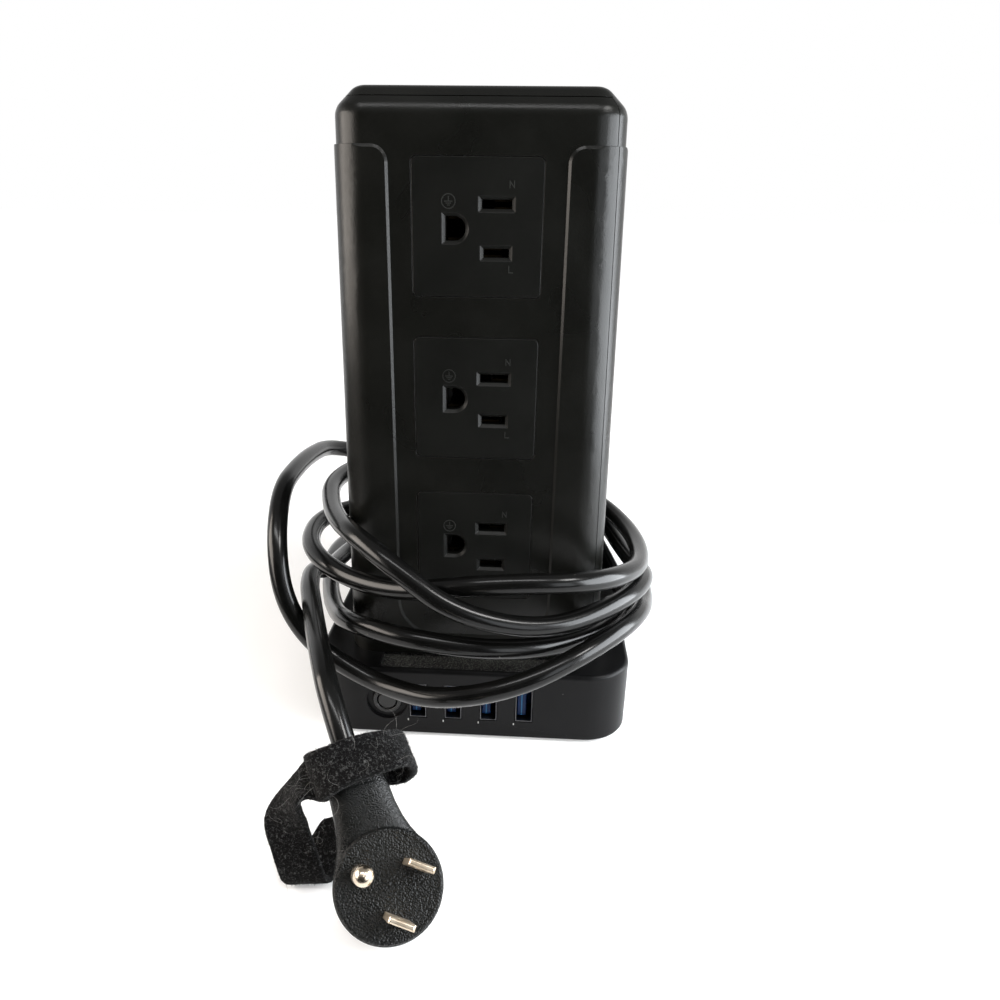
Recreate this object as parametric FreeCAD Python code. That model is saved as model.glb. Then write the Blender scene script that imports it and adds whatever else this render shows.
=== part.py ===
import FreeCAD, Part
import math
import os

# A tower power strip, in millimetres. The origin is the middle of the base's underside, +Z is up
# and the front face, with the round reset button and the four charging ports below it, looks to -Y.

vec = FreeCAD.Vector
up = vec(0, 0, 1)

# Base
base_half_width = 53.5
base_corner_radius = 15.0
base_height = 26.5
base_wall = 2.4
base_top_rounding = 1.6
base_foot_rounding = 0.7
plate_thickness = 2.4
plate_clearance = 0.2
foot_radius = 5.5
foot_height = 1.0
foot_across = 28.0
foot_edge = 11.5
deck_opening_half = 30.0
groove_half_width = 31.0
groove_rim = 1.5
groove_depth = 1.2

# Tower
tower_half_width = 43.0
tower_level = 30.0
tower_corner_radius = 10.0
tower_draft = 0.77
tower_height = 198.7
shell_wall = 2.2
bevel_height = 5.8
bevel_inset = 6.0
bevel_rounding = 5.0
recess_depth = 0.6
recess_slope = 0.8
cap_drop = 14.7
band_half_width = 24.5
band_foot_level = 34.5
band_foot_radius = 12.0
band_head_radius = 4.5
seam_gap = 0.2
seam_height_share = 0.5

# Outlets: one column of three on each of the four sides
outlet_size = 36.4
outlet_corner_radius = 1.6
outlet_gap = 0.15
lowest_outlet_rise = 40.5
highest_outlet_drop = 35.7
flange_margin = 0.8
flange_thickness = 1.6
skirt_size = 33.0
skirt_wall = 1.5
skirt_depth = 11.0
slot_across = 5.4
slot_spacing = 12.7
slot_thickness = 2.3
neutral_slot_length = 8.3
live_slot_length = 7.1
ground_across = -6.1
ground_hole_width = 5.6
ground_hole_height = 6.4
lead_in = 1.0

# Contacts and the column that carries them
strip_thickness = 0.8
strip_width = 4.0
contact_depth = 18.0
column_wall = 2.0
column_clearance = 0.1
column_head_drop = 9.7
column_flange_half = 27.5
column_flange_thickness = 2.0

# Charging ports
port_pitch = 12.0
port_count = 4
port_width = 5.7
port_height = 13.1
port_foot_level = 7.7
port_depth = 14.0
port_wall = 0.35
port_gap = 0.2
tongue_thickness = 2.0
tongue_height = 11.0
tongue_length = 11.5
usb_board_thickness = 1.6
usb_board_foot_gap = 0.1
usb_board_head_gap = 0.4
usb_board_near_side = 0.3
usb_board_far_side = 6.0
transformer_left = 8.0
transformer_width = 14.0
transformer_foot = 6.0
transformer_height = 12.0
transformer_column_gap = 1.9
capacitor_radius = 3.4
capacitor_level = 12.0
capacitor_places = [-14.0, -5.0]
capacitor_column_gap = 2.4

# Reset button of the overload breaker
breaker_across = -28.5
breaker_level = 13.6
breaker_dish_radius = 7.0
breaker_dish_depth = 1.2
collar_radius = 5.0
collar_bore_radius = 3.5
button_radius = 3.2
button_travel = 1.2
breaker_body_width = 13.0
breaker_body_foot_gap = 1.7
breaker_body_head_gap = 0.4
breaker_column_gap = 0.65
breaker_terminal_length = 4.9
breaker_terminal_height = 6.3
breaker_terminal_thickness = 0.8
breaker_terminal_offset = 3.5
breaker_wall_gap = 0.05

# Rocker switch and its lamp, on the right side of the base
switch_level = 13.8
pocket_half_width = 13.5
pocket_half_height = 9.0
pocket_depth = 3.2
rocker_frame_width = 22.0
rocker_frame_height = 15.6
rocker_frame_lip = 1.5
rocker_tube_width = 19.4
rocker_tube_height = 13.2
rocker_tube_depth = 13.0
rocker_well_width = 16.8
rocker_well_height = 10.6
rocker_width = 15.2
rocker_height = 10.0
rocker_pivot_radius = 0.9
rocker_pivot_clearance = 0.12
rocker_tilt = 8.0
lamp_across = 20.5
lens_radius = 2.6
lens_gap = 0.1

# Inner circuit parts
surge_board_wall_gap = 2.1
surge_board_column_gap = 0.5
surge_board_breaker_gap = 2.25
surge_board_boss_gap = 2.3
surge_post_radius = 2.0
surge_post_side = 3.5
surge_post_end = 6.0
board_thickness = 1.6
board_level = 7.4
varistor_radius = 6.5
varistor_thickness = 4.2
varistor_count = 3
varistor_start = 8.0
fuse_radius = 2.3
fuse_length = 15.0
fuse_gap = 3.0
fuse_end = 3.0

# Screws
screw_radius = 1.5
screw_head_radius = 3.0
screw_head_height = 1.6
screw_boss_radius = 3.7
base_screw_edge = 8.0
base_screw_along = 30.0
base_screw_length = 14.0
shell_screw_length = 10.0

# Mains lead
cord_diameter = 6.5
relief_across = 27.0
relief_level = 13.0
relief_length = 20.0
relief_root_radius = 5.6
relief_tip_radius = 4.4
relief_flange_radius = 7.6
relief_cord_gap = 0.2

# The winding round the tower, one line for each quarter turn and one more where a turn drops over the
# front left corner: the side of the tower, the reach from the tower's axis, how far along that side,
# the height, the swing from that side's own direction and the climb, both in degrees.
winding_stations = [
    ("left", 61.0, 7.0, 31.0, 11.5, 1.0),
    ("front", 67.0, -8.0, 45.0, -3.0, -6.0),
    ("right", 55.0, -8.5, 32.0, -1.5, -11.0),
    ("back", 64.0, 5.5, 52.0, -1.0, 0.5),
    ("left", 68.5, 31.0, 75.5, -2.0, 9.0),
    ("left", 63.5, -47.0, 58.0, 20.5, -62.0),
    ("front", 66.0, -19.5, 26.0, -32.5, 10.0),
    ("right", 57.2, -32.0, 41.2, -14.0, -14.0),
    ("back", 67.0, 11.0, 44.0, 6.5, -6.5),
    ("left", 62.5, -7.5, 56.5, 3.0, 2.5),
    ("front", 61.5, -10.0, 61.0, -16.5, 15.5),
    ("right", 49.5, -44.0, 60.5, -24.5, -13.0),
    ("back", 63.5, -0.5, 61.0, 0.0, 8.5),
    ("left", 53.5, -13.5, 72.5, 13.5, -0.5),
    ("front", 68.5, -15.5, 66.0, -15.0, -33.5),
    ("right", 59.0, -9.5, 46.0, 5.0, -14.0),
    ("back", 71.5, 12.5, 51.5, -10.0, -9.0),
    ("left", 57.5, 8.5, 37.5, -2.0, 9.5),
]

# The lead from the strain relief round to the winding, and the tail from the winding to the plug.
# Their first and last points follow from what they meet.
lead_points = [
    (27.0, 98.0, 12.0),
    (14.0, 117.0, 9.0),
    (-9.0, 124.0, 7.5),
    (-33.0, 117.0, 10.0),
    (-51.0, 98.0, 16.0),
    (-60.5, 73.0, 23.0),
    (-64.5, 46.0, 28.5),
]
tail_points = [
    (-60.0, -21.0, 46.5),
    (-57.0, -37.0, 48.5),
    (-51.7, -53.0, 48.8),
    (-46.0, -70.0, 49.5),
    (-40.3, -86.0, 50.0),
]

# Plug: a flat round body that lies on its edge, pins to the front
plug_face_centre = vec(-13.8, -133.6, 16.3)
plug_normal = vec(0.216, -0.679, 0.701)
plug_ground_direction = vec(-0.938, 0.055, 0.342)
plug_radius = 13.6
plug_thickness = 9.6
plug_edge_rounding = 1.4
plug_blade_line = 4.4
ground_pin_offset = 11.9
blade_spacing = 12.7
blade_width = 6.35
blade_thickness = 1.5
blade_length = 16.5
ground_pin_radius = 2.4
ground_pin_length = 20.0
pin_root = 4.0
pin_root_radius = 2.1
pin_root_rise = 0.3
neck_turn = -50.0
neck_root_half = 8.8
neck_root_offset = 8.0
neck_length = 37.0
neck_middle = 28.0
neck_middle_half = 7.8
neck_middle_thickness = 9.2
neck_tip_radius = 4.6

# Hook-and-loop strap: a loose loop round the neck whose free end curls down to the floor
strap_width = 14.0
strap_thickness = 2.0
strap_start = 27.0
strap_clearance = 0.5
strap_left = -10.7
strap_right = 18.0
strap_tail = [
    (vec(-39.8, -117.3, 32.7), vec(-0.39, 0.60, 0.70)),
    (vec(-43.6, -116.3, 23.5), vec(-0.69, 0.69, -0.20)),
    (vec(-44.9, -117.8, 15.0), vec(-0.81, 0.45, -0.38)),
    (vec(-42.4, -118.0, 8.2), vec(-0.64, 0.07, -0.76)),
    (vec(-36.7, -114.2, 8.4), vec(0.0, -0.30, -0.95)),
    (vec(-32.3, -109.5, 8.4), vec(0.13, -0.48, -0.87)),
]

sides = ["front", "right", "back", "left"]
rows = ["lower", "middle", "upper"]


def save(name, shape):
    os.makedirs("parts", exist_ok=True)
    if not shape.isValid():
        print("not valid:", name)
    shape.exportStep("parts/" + name + ".step")


def box(x_low, x_high, y_low, y_high, z_low, z_high):
    return Part.makeBox(x_high - x_low, y_high - y_low, z_high - z_low, vec(x_low, y_low, z_low))


def centred_box(width, depth, height, centre):
    corner = centre - vec(width / 2, depth / 2, height / 2)
    return Part.makeBox(width, depth, height, corner)


def fuse_all(shapes):
    joined = shapes[0]
    if len(shapes) > 1:
        joined = joined.multiFuse(shapes[1:]).removeSplitter()
    return joined


def one_solid(shape):
    return shape.Solids[0] if len(shape.Solids) == 1 else shape


def line(start, end):
    return Part.LineSegment(start, end).toShape()


def arc(start, middle, end):
    return Part.Arc(start, middle, end).toShape()


def rounded_rectangle(half_x, half_y, radius, z):
    """Closed wire round (0, 0) at height z."""
    edges = []
    corners = [(1, -1), (1, 1), (-1, 1), (-1, -1)]
    inner_x = half_x - radius
    inner_y = half_y - radius
    for number, (sign_x, sign_y) in enumerate(corners):
        next_x, next_y = corners[(number + 1) % 4]
        first = math.radians(90 * number - 90)
        centre = vec(sign_x * inner_x, sign_y * inner_y, z)
        points = [centre + vec(radius * math.cos(first + step * math.pi / 4),
                               radius * math.sin(first + step * math.pi / 4), 0) for step in range(3)]
        edges.append(arc(*points))
        last = math.radians(90 * number)
        following = vec(next_x * inner_x, next_y * inner_y, z)
        edges.append(line(points[2], following + vec(radius * math.cos(last), radius * math.sin(last), 0)))
    return Part.Wire(edges)


def prism(wire, height):
    return Part.Face(wire).extrude(vec(0, 0, height))


def loft(wires):
    return Part.makeLoft(wires, True, True)


def tower_half(z):
    return tower_half_width - (z - tower_level) * math.tan(math.radians(tower_draft))


def on_side(shape, side):
    """Turn a shape made for the front of the base or tower to another side."""
    turned = shape.copy()
    turned.rotate(vec(0, 0, 0), up, 90 * sides.index(side))
    return turned


def on_face(shape, side):
    """Seat a shape on a tower face. It is made with x across, y inwards from the face and z up it."""
    seated = shape.copy()
    seated.rotate(vec(0, 0, 0), vec(1, 0, 0), -tower_draft)
    seated.translate(vec(0, -tower_half_width, tower_level))
    return on_side(seated, side)


def on_base_front(shape):
    """Seat a shape on the base's front. It is made with x across, y inwards and z as it is."""
    seated = shape.copy()
    seated.translate(vec(0, -base_half_width, 0))
    return seated


def face_level(level):
    return (level - tower_level) / math.cos(math.radians(tower_draft))


cap_level = tower_height - cap_drop
column_head_level = tower_height - column_head_drop
lowest_outlet_level = base_height + lowest_outlet_rise
highest_outlet_level = tower_height - highest_outlet_drop
outlet_pitch = (highest_outlet_level - lowest_outlet_level) / (len(rows) - 1)
outlet_levels = [face_level(lowest_outlet_level + outlet_pitch * row) for row in range(len(rows))]
outlet_face = recess_depth
bevel_level = tower_height - bevel_height
deck_underside = base_height - base_wall
groove_front = base_half_width - groove_rim
floor_level = foot_height + plate_thickness
base_screw_place = base_half_width - base_screw_edge
breaker_inner_face = base_wall + breaker_wall_gap
breaker_body_depth = (base_half_width - breaker_inner_face - breaker_terminal_length - column_flange_half
                      - breaker_column_gap)
surge_board_left = base_wall + surge_board_wall_gap - base_half_width
surge_board_right = -column_flange_half - surge_board_column_gap
surge_board_middle = (surge_board_left + surge_board_right) / 2
surge_board_front = (breaker_inner_face + breaker_body_depth + breaker_terminal_length
                     + surge_board_breaker_gap - base_half_width)
surge_board_back = base_screw_along - screw_boss_radius - surge_board_boss_gap
shell_inner = recess_depth + shell_wall


# Tower shells

def band_outline(half_width, foot, head, depth):
    """The recessed band's outline in a plane at this depth, open to the cap above."""
    foot_radius_here = band_foot_radius + half_width - band_half_width
    head_radius_here = band_head_radius - (half_width - band_half_width)
    reach = tower_half_width + 2
    crown = head + 30
    bend = math.sqrt(0.5)
    corner = half_width - foot_radius_here
    flare = half_width + head_radius_here

    def at(x, z):
        return vec(x, depth, z)

    edges = [
        line(at(-corner, foot), at(corner, foot)),
        arc(at(corner, foot),
            at(corner + foot_radius_here * bend, foot + foot_radius_here * (1 - bend)),
            at(half_width, foot + foot_radius_here)),
        line(at(half_width, foot + foot_radius_here), at(half_width, head - head_radius_here)),
        arc(at(half_width, head - head_radius_here),
            at(flare - head_radius_here * bend, head - head_radius_here * (1 - bend)),
            at(flare, head)),
        line(at(flare, head), at(reach, head)),
        line(at(reach, head), at(reach, crown)),
        line(at(reach, crown), at(-reach, crown)),
        line(at(-reach, crown), at(-reach, head)),
        line(at(-reach, head), at(-flare, head)),
        arc(at(-flare, head),
            at(-flare + head_radius_here * bend, head - head_radius_here * (1 - bend)),
            at(-half_width, head - head_radius_here)),
        line(at(-half_width, head - head_radius_here), at(-half_width, foot + foot_radius_here)),
        arc(at(-half_width, foot + foot_radius_here),
            at(-corner - foot_radius_here * bend, foot + foot_radius_here * (1 - bend)),
            at(-corner, foot)),
    ]
    return Part.Wire(edges)


def make_band_cutter():
    """The recess of one face, with sloped walls, from just outside the face to its floor."""
    foot = face_level(band_foot_level)
    head = face_level(cap_level)
    outside = recess_depth
    wide = band_outline(band_half_width + recess_slope * 2, foot - recess_slope * 2,
                        head - recess_slope * 2, -outside)
    narrow = band_outline(band_half_width, foot, head, recess_depth)
    return loft([wide, narrow])


def make_tower_body():
    """The closed outer form: a recessed core and four raised corner panels."""
    radius = tower_corner_radius
    core_radius = radius - recess_depth
    core_foot = tower_half(base_height) - recess_depth
    core_bevel = tower_half(bevel_level) - recess_depth
    core = loft([
        rounded_rectangle(core_foot, core_foot, core_radius, base_height),
        rounded_rectangle(core_bevel, core_bevel, core_radius, bevel_level),
    ])
    head = loft([
        rounded_rectangle(core_bevel, core_bevel, core_radius, bevel_level),
        rounded_rectangle(core_bevel - bevel_inset, core_bevel - bevel_inset,
                          core_radius - bevel_inset, tower_height),
    ])
    core = core.fuse(head).removeSplitter()
    edges = [edge for edge in core.Edges
             if edge.BoundBox.ZMin > bevel_level - 0.1 and edge.BoundBox.ZLength < 0.1]
    core = core.makeFillet(bevel_rounding, edges)
    panel_foot = tower_half(base_height)
    panel_head = tower_half(cap_level)
    panels = loft([
        rounded_rectangle(panel_foot, panel_foot, radius, base_height),
        rounded_rectangle(panel_head, panel_head, radius, cap_level),
    ])
    cutter = make_band_cutter()
    for side in sides:
        panels = panels.cut(on_face(cutter, side))
    return core.fuse(panels).removeSplitter()


def make_tower_cavity():
    radius = tower_corner_radius - shell_inner
    turn = shell_wall * math.tan(math.radians(22.5))
    low = tower_half(base_height) - shell_inner
    high = tower_half(bevel_level) - shell_inner
    inner_top = tower_height - shell_wall
    inset = inner_top - (bevel_level - turn)
    inset = min(inset, radius - 0.5)
    return fuse_all([
        loft([rounded_rectangle(low, low, radius, base_height),
              rounded_rectangle(high, high, radius, bevel_level - turn)]),
        loft([rounded_rectangle(high, high, radius, bevel_level - turn),
              rounded_rectangle(high - inset, high - inset, radius - inset, inner_top)]),
    ])


def shell_boss_places():
    """Screw bosses of the front-left shell. The other shell has them half a turn round."""
    wall = tower_half(base_height) - shell_inner
    side_place = wall - screw_boss_radius + 0.9
    corner_place = wall - tower_corner_radius + shell_inner + 3.0
    return [vec(-corner_place, -corner_place, 0), vec(14, -side_place, 0), vec(-side_place, 14, 0)]


def all_shell_bosses():
    near = shell_boss_places()
    return near, [place * -1 for place in near]


boss_height = 12.0


def add_bosses(shell, places):
    bosses = [Part.makeCylinder(screw_boss_radius, boss_height, vec(place.x, place.y, base_height))
              for place in places]
    shell = fuse_all([shell] + bosses)
    for place in places:
        hole = Part.makeCylinder(screw_radius, boss_height - 2, vec(place.x, place.y, base_height))
        shell = shell.cut(hole)
    return shell


def make_shells():
    body = make_tower_body().cut(make_tower_cavity())
    window = prism(rounded_rectangle(outlet_size / 2 + outlet_gap, outlet_size / 2 + outlet_gap,
                                     outlet_corner_radius + outlet_gap, 0), shell_wall + 3)
    window.rotate(vec(0, 0, 0), vec(1, 0, 0), -90)
    window.translate(vec(0, outlet_face - 1.5, 0))
    for side in sides:
        for level in outlet_levels:
            cutter = window.copy()
            cutter.translate(vec(0, 0, level))
            body = body.cut(on_face(cutter, side))
    split_level = bevel_level + bevel_height * seam_height_share
    far = 2 * tower_half_width
    half_gap = seam_gap / 2

    def corner_prism(gap, top):
        edge = gap * math.sqrt(2)
        outline = Part.makePolygon([vec(-far, -far, 0), vec(far - edge, -far, 0),
                                    vec(-far, far - edge, 0), vec(-far, -far, 0)])
        return Part.Face(outline).extrude(vec(0, 0, top))

    front_left = body.common(corner_prism(half_gap, split_level - half_gap))
    rear_right = body.cut(corner_prism(-half_gap, split_level + half_gap))
    near, far_side = all_shell_bosses()
    return one_solid(add_bosses(front_left, near)), one_solid(add_bosses(rear_right, far_side))


# Outlet inserts

def ground_outline(half_width, half_height, depth):
    """D-shaped: flat to the left, round to the right. Wire in a plane at this depth."""
    flat = -half_width
    shoulder = half_width - half_height
    edges = [
        line(vec(flat, depth, half_height), vec(flat, depth, -half_height)),
        line(vec(flat, depth, -half_height), vec(shoulder, depth, -half_height)),
        arc(vec(shoulder, depth, -half_height), vec(half_width, depth, 0),
            vec(shoulder, depth, half_height)),
        line(vec(shoulder, depth, half_height), vec(flat, depth, half_height)),
    ]
    return Part.Wire(edges)


def slot_outline(length, thickness, depth):
    half = length / 2
    high = thickness / 2
    points = [vec(-half, depth, -high), vec(half, depth, -high), vec(half, depth, high),
              vec(-half, depth, high), vec(-half, depth, -high)]
    return Part.makePolygon(points)


def make_outlet():
    """One insert round its own centre, its face at y = 0."""
    upright = vec(1, 0, 0)
    plate_depth = shell_wall + outlet_gap
    plate = prism(rounded_rectangle(outlet_size / 2, outlet_size / 2, outlet_corner_radius, 0), plate_depth)
    plate.rotate(vec(0, 0, 0), upright, -90)
    flange_half = outlet_size / 2 + flange_margin
    flange = prism(rounded_rectangle(flange_half, flange_half, outlet_corner_radius, 0), flange_thickness)
    flange.rotate(vec(0, 0, 0), upright, -90)
    flange.translate(vec(0, plate_depth, 0))
    skirt_start = plate_depth + flange_thickness
    skirt = centred_box(skirt_size, skirt_depth, skirt_size, vec(0, skirt_start + skirt_depth / 2, 0))
    hollow_size = skirt_size - 2 * skirt_wall
    hollow = centred_box(hollow_size, skirt_depth, hollow_size, vec(0, skirt_start + skirt_depth / 2, 0))
    insert = fuse_all([plate, flange, skirt.cut(hollow)])
    through = skirt_start + 1
    half_slot = slot_thickness / 2
    for length, level in ((neutral_slot_length, slot_spacing / 2), (live_slot_length, -slot_spacing / 2)):
        mouth = loft([slot_outline(length + 2 * lead_in, slot_thickness + 2 * lead_in, 0),
                      slot_outline(length, slot_thickness, lead_in)])
        slot = box(-length / 2, length / 2, 0, through, -half_slot, half_slot)
        for cutter in (mouth, slot):
            cutter.translate(vec(slot_across, 0, level))
            insert = insert.cut(cutter)
    half_w = ground_hole_width / 2
    half_h = ground_hole_height / 2
    mouth = loft([ground_outline(half_w + lead_in, half_h + lead_in, 0),
                  ground_outline(half_w, half_h, lead_in)])
    hole = Part.Face(ground_outline(half_w, half_h, 0)).extrude(vec(0, through, 0))
    for cutter in (mouth, hole):
        cutter.translate(vec(ground_across, 0, 0))
        insert = insert.cut(cutter)
    return one_solid(insert)


def make_strip(bus_across, clip_levels, clip_low, clip_high, clip_gap, clip_start):
    """A flat bus up the column with a pair of spring leaves for each outlet."""
    back = contact_depth
    front = back - strip_thickness
    low = outlet_levels[0] - outlet_size / 2
    high = outlet_levels[-1] + outlet_size / 2
    pieces = [box(bus_across - strip_width / 2, bus_across + strip_width / 2, front, back, low, high)]
    tab_half = clip_gap / 2 + strip_thickness
    for level in clip_levels:
        pieces.append(box(clip_low, clip_high, front, back, level - tab_half, level + tab_half))
        for sign in (-1, 1):
            inner = level + sign * clip_gap / 2
            outer = level + sign * tab_half
            pieces.append(box(clip_low, clip_high, clip_start, back, min(inner, outer), max(inner, outer)))
    return one_solid(fuse_all(pieces))


def make_strips():
    """Neutral, live and ground strips of one side, in face coordinates."""
    clip_start = outlet_face + shell_wall + outlet_gap + flange_thickness + 0.6
    neutral = make_strip(9.6, [level + slot_spacing / 2 for level in outlet_levels],
                         4.6, 11.6, 1.4, clip_start)
    live = make_strip(1.6, [level - slot_spacing / 2 for level in outlet_levels],
                      -0.4, 7.0, 1.4, clip_start)
    ground = make_strip(ground_across, outlet_levels, ground_across - 2.4, ground_across + 2.4,
                        5.0, clip_start)
    return {"neutral": neutral, "live": live, "ground": ground}


def make_column():
    """The square post inside the tower that carries the contact strips."""
    def half(z):
        return tower_half(z) - contact_depth - column_clearance

    foot = foot_height + plate_thickness
    radius = 2.0
    outer = loft([rounded_rectangle(half(foot), half(foot), radius, foot),
                  rounded_rectangle(half(column_head_level), half(column_head_level), radius,
                                    column_head_level)])
    inner = loft([rounded_rectangle(half(foot) - column_wall, half(foot) - column_wall, 0.8, foot),
                  rounded_rectangle(half(column_head_level) - column_wall,
                                    half(column_head_level) - column_wall, 0.8, column_head_level)])
    flange = prism(rounded_rectangle(column_flange_half, column_flange_half, 3.0, foot),
                   column_flange_thickness)
    return one_solid(fuse_all([outer, flange]).cut(inner))


# Base

def make_base_housing():
    half = base_half_width
    outer = prism(rounded_rectangle(half, half, base_corner_radius, foot_height), base_height - foot_height)
    top_edges = [edge for edge in outer.Edges if edge.BoundBox.ZMin > base_height - 0.1]
    outer = outer.makeFillet(base_top_rounding, top_edges)
    low_edges = [edge for edge in outer.Edges if edge.BoundBox.ZMax < foot_height + 0.1]
    outer = outer.makeFillet(base_foot_rounding, low_edges)
    inner_half = half - base_wall
    inner_height = base_height - base_wall - foot_height
    inner = prism(rounded_rectangle(inner_half, inner_half, base_corner_radius - base_wall, foot_height),
                  inner_height)
    housing = outer.cut(inner)

    # Screw bosses under the deck, and the walls of the switch pocket
    boss_foot = floor_level
    boss_top = deck_underside
    additions = [Part.makeCylinder(screw_boss_radius, boss_top - boss_foot + 0.5, vec(x, y, boss_foot))
                 for x, y in base_screw_places()]
    pocket_wall = box(-pocket_half_width - 1.5, pocket_half_width + 1.5, base_wall - 0.5,
                      pocket_depth + base_wall, boss_foot + 0.2, boss_top + 0.5)
    additions.append(on_side(on_base_front(pocket_wall), "right"))
    housing = fuse_all([housing] + additions)

    hole_depth = boss_top - boss_foot - 2
    cutters = [Part.makeCylinder(screw_radius, hole_depth, vec(x, y, boss_foot))
               for x, y in base_screw_places()]
    cutters.append(box(-deck_opening_half, deck_opening_half, -deck_opening_half, deck_opening_half,
                       boss_top - 1, base_height + 1))
    groove_back = tower_half(base_height) - shell_wall
    groove = prism(rounded_rectangle(groove_half_width, (groove_front - groove_back) / 2, 1.5, 0), 3)
    groove.translate(vec(0, -(groove_front + groove_back) / 2, base_height - groove_depth))
    cutters.append(groove)
    for places in all_shell_bosses():
        for place in places:
            cutters.append(Part.makeCylinder(screw_radius + 0.2, 5, vec(place.x, place.y, boss_top - 1)))

    # Ports, reset button, switch, lamp and lead
    for across in port_places():
        port = centred_box(port_width + 2 * port_gap, base_wall + 4, port_height + 2 * port_gap,
                           vec(across, base_wall / 2, port_foot_level + port_height / 2))
        cutters.append(on_base_front(port))
    dish = Part.makeCylinder(breaker_dish_radius, breaker_dish_depth + 1,
                             vec(breaker_across, -1, breaker_level), vec(0, 1, 0))
    bore = Part.makeCylinder(collar_radius + 0.15, base_wall + 2,
                             vec(breaker_across, -1, breaker_level), vec(0, 1, 0))
    cutters += [on_base_front(dish), on_base_front(bore)]
    pocket = centred_box(2 * pocket_half_width, 2 * pocket_depth, 2 * pocket_half_height,
                         vec(0, 0, switch_level))
    tube_hole = centred_box(rocker_tube_width + 0.3, 20, rocker_tube_height + 0.3, vec(0, 0, switch_level))
    lamp_hole = Part.makeCylinder(lens_radius + lens_gap, 10, vec(lamp_across, -3, switch_level),
                                  vec(0, 1, 0))
    for cutter in (pocket, tube_hole, lamp_hole):
        cutters.append(on_side(on_base_front(cutter), "right"))
    cutters.append(Part.makeCylinder(relief_root_radius + 0.1, 12,
                                     vec(relief_across, half - 6, relief_level), vec(0, 1, 0)))
    for cutter in cutters:
        housing = housing.cut(cutter)
    return one_solid(housing)


def base_screw_places():
    return [(sign_x * base_screw_place, sign_y * base_screw_along)
            for sign_x in (-1, 1) for sign_y in (-1, 1)]


def make_base_plate():
    half = base_half_width - base_wall - plate_clearance
    radius = base_corner_radius - base_wall - plate_clearance
    plate = prism(rounded_rectangle(half, half, radius, foot_height), plate_thickness)
    for x, y in base_screw_places():
        plate = plate.cut(Part.makeCylinder(screw_radius + 0.15, plate_thickness, vec(x, y, foot_height)))
        head = Part.makeCylinder(screw_head_radius + 0.15, screw_head_height, vec(x, y, foot_height))
        plate = plate.cut(head)
    stand = board_level - floor_level
    posts = [Part.makeCylinder(surge_post_radius, stand, vec(x, y, floor_level))
             for x, y in surge_board_posts()]
    return one_solid(fuse_all([plate] + posts))


def make_feet():
    feet = []
    for sign_x in (-1, 1):
        for sign_y in (-1, 1):
            feet.append(Part.makeCylinder(foot_radius, foot_height,
                                          vec(sign_x * foot_across,
                                              sign_y * (base_half_width - foot_edge), 0)))
    return Part.makeCompound(feet)


def make_screw(head_place, length):
    """A pan-head screw that points up, its head's underside at head_place."""
    shank = Part.makeCylinder(screw_radius - 0.05, length, head_place)
    head = Part.makeCylinder(screw_head_radius, screw_head_height, head_place - vec(0, 0, screw_head_height))
    recess = centred_box(3.4, 0.7, 1.6, head_place - vec(0, 0, screw_head_height))
    cross = centred_box(0.7, 3.4, 1.6, head_place - vec(0, 0, screw_head_height))
    return one_solid(fuse_all([shank, head]).cut(recess).cut(cross))


def make_base_screws():
    under = foot_height + screw_head_height
    return Part.makeCompound([make_screw(vec(x, y, under), base_screw_length)
                              for x, y in base_screw_places()])


def make_shell_screws():
    near, far_side = all_shell_bosses()
    return Part.makeCompound([make_screw(vec(place.x, place.y, deck_underside), shell_screw_length)
                              for place in near + far_side])


# Charging ports

def port_places():
    first = -port_pitch * (port_count - 1) / 2
    return [first + port_pitch * number for number in range(port_count)]


def make_port_shell():
    outer = box(-port_width / 2, port_width / 2, 0.1, port_depth, 0, port_height)
    inner = box(-port_width / 2 + port_wall, port_width / 2 - port_wall, 0, port_depth - 1.2,
                port_wall, port_height - port_wall)
    return one_solid(outer.cut(inner))


def make_port_tongue():
    """The contact tongue, off the middle of the shell, with its block at the back."""
    inside = port_width / 2 - port_wall
    middle = port_height / 2
    tongue = box(-tongue_thickness / 2 - 0.5, tongue_thickness / 2 - 0.5, port_depth - 1.2 - tongue_length,
                 port_depth - 1.2, middle - tongue_height / 2, middle + tongue_height / 2)
    block = box(-inside, inside, port_depth - 4.2, port_depth - 1.2, port_wall, port_height - port_wall)
    return one_solid(tongue.fuse(block).removeSplitter())


def at_port(shape, across):
    placed = shape.copy()
    placed.translate(vec(across, 0, port_foot_level))
    return on_base_front(placed)


def make_usb_board():
    low = port_places()[0] - port_width / 2 - usb_board_near_side
    high = port_places()[-1] + port_width / 2 + usb_board_far_side
    foot = floor_level + usb_board_foot_gap
    head = deck_underside - screw_head_height - usb_board_head_gap
    board = box(low, high, port_depth, port_depth + usb_board_thickness, foot, head)
    return on_base_front(board)


def make_usb_converter():
    """The charger's transformer with its tape-wrapped coil, and two capacitors beside it."""
    back = port_depth + usb_board_thickness
    room = base_half_width - back - column_flange_half
    pieces = [box(transformer_left, transformer_left + transformer_width,
                  back, back + room - transformer_column_gap,
                  transformer_foot, transformer_foot + transformer_height)]
    for across in capacitor_places:
        pieces.append(Part.makeCylinder(capacitor_radius, room - capacitor_column_gap,
                                        vec(across, back, capacitor_level), vec(0, 1, 0)))
    return Part.makeCompound([on_base_front(piece) for piece in pieces])


# Reset button

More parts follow.
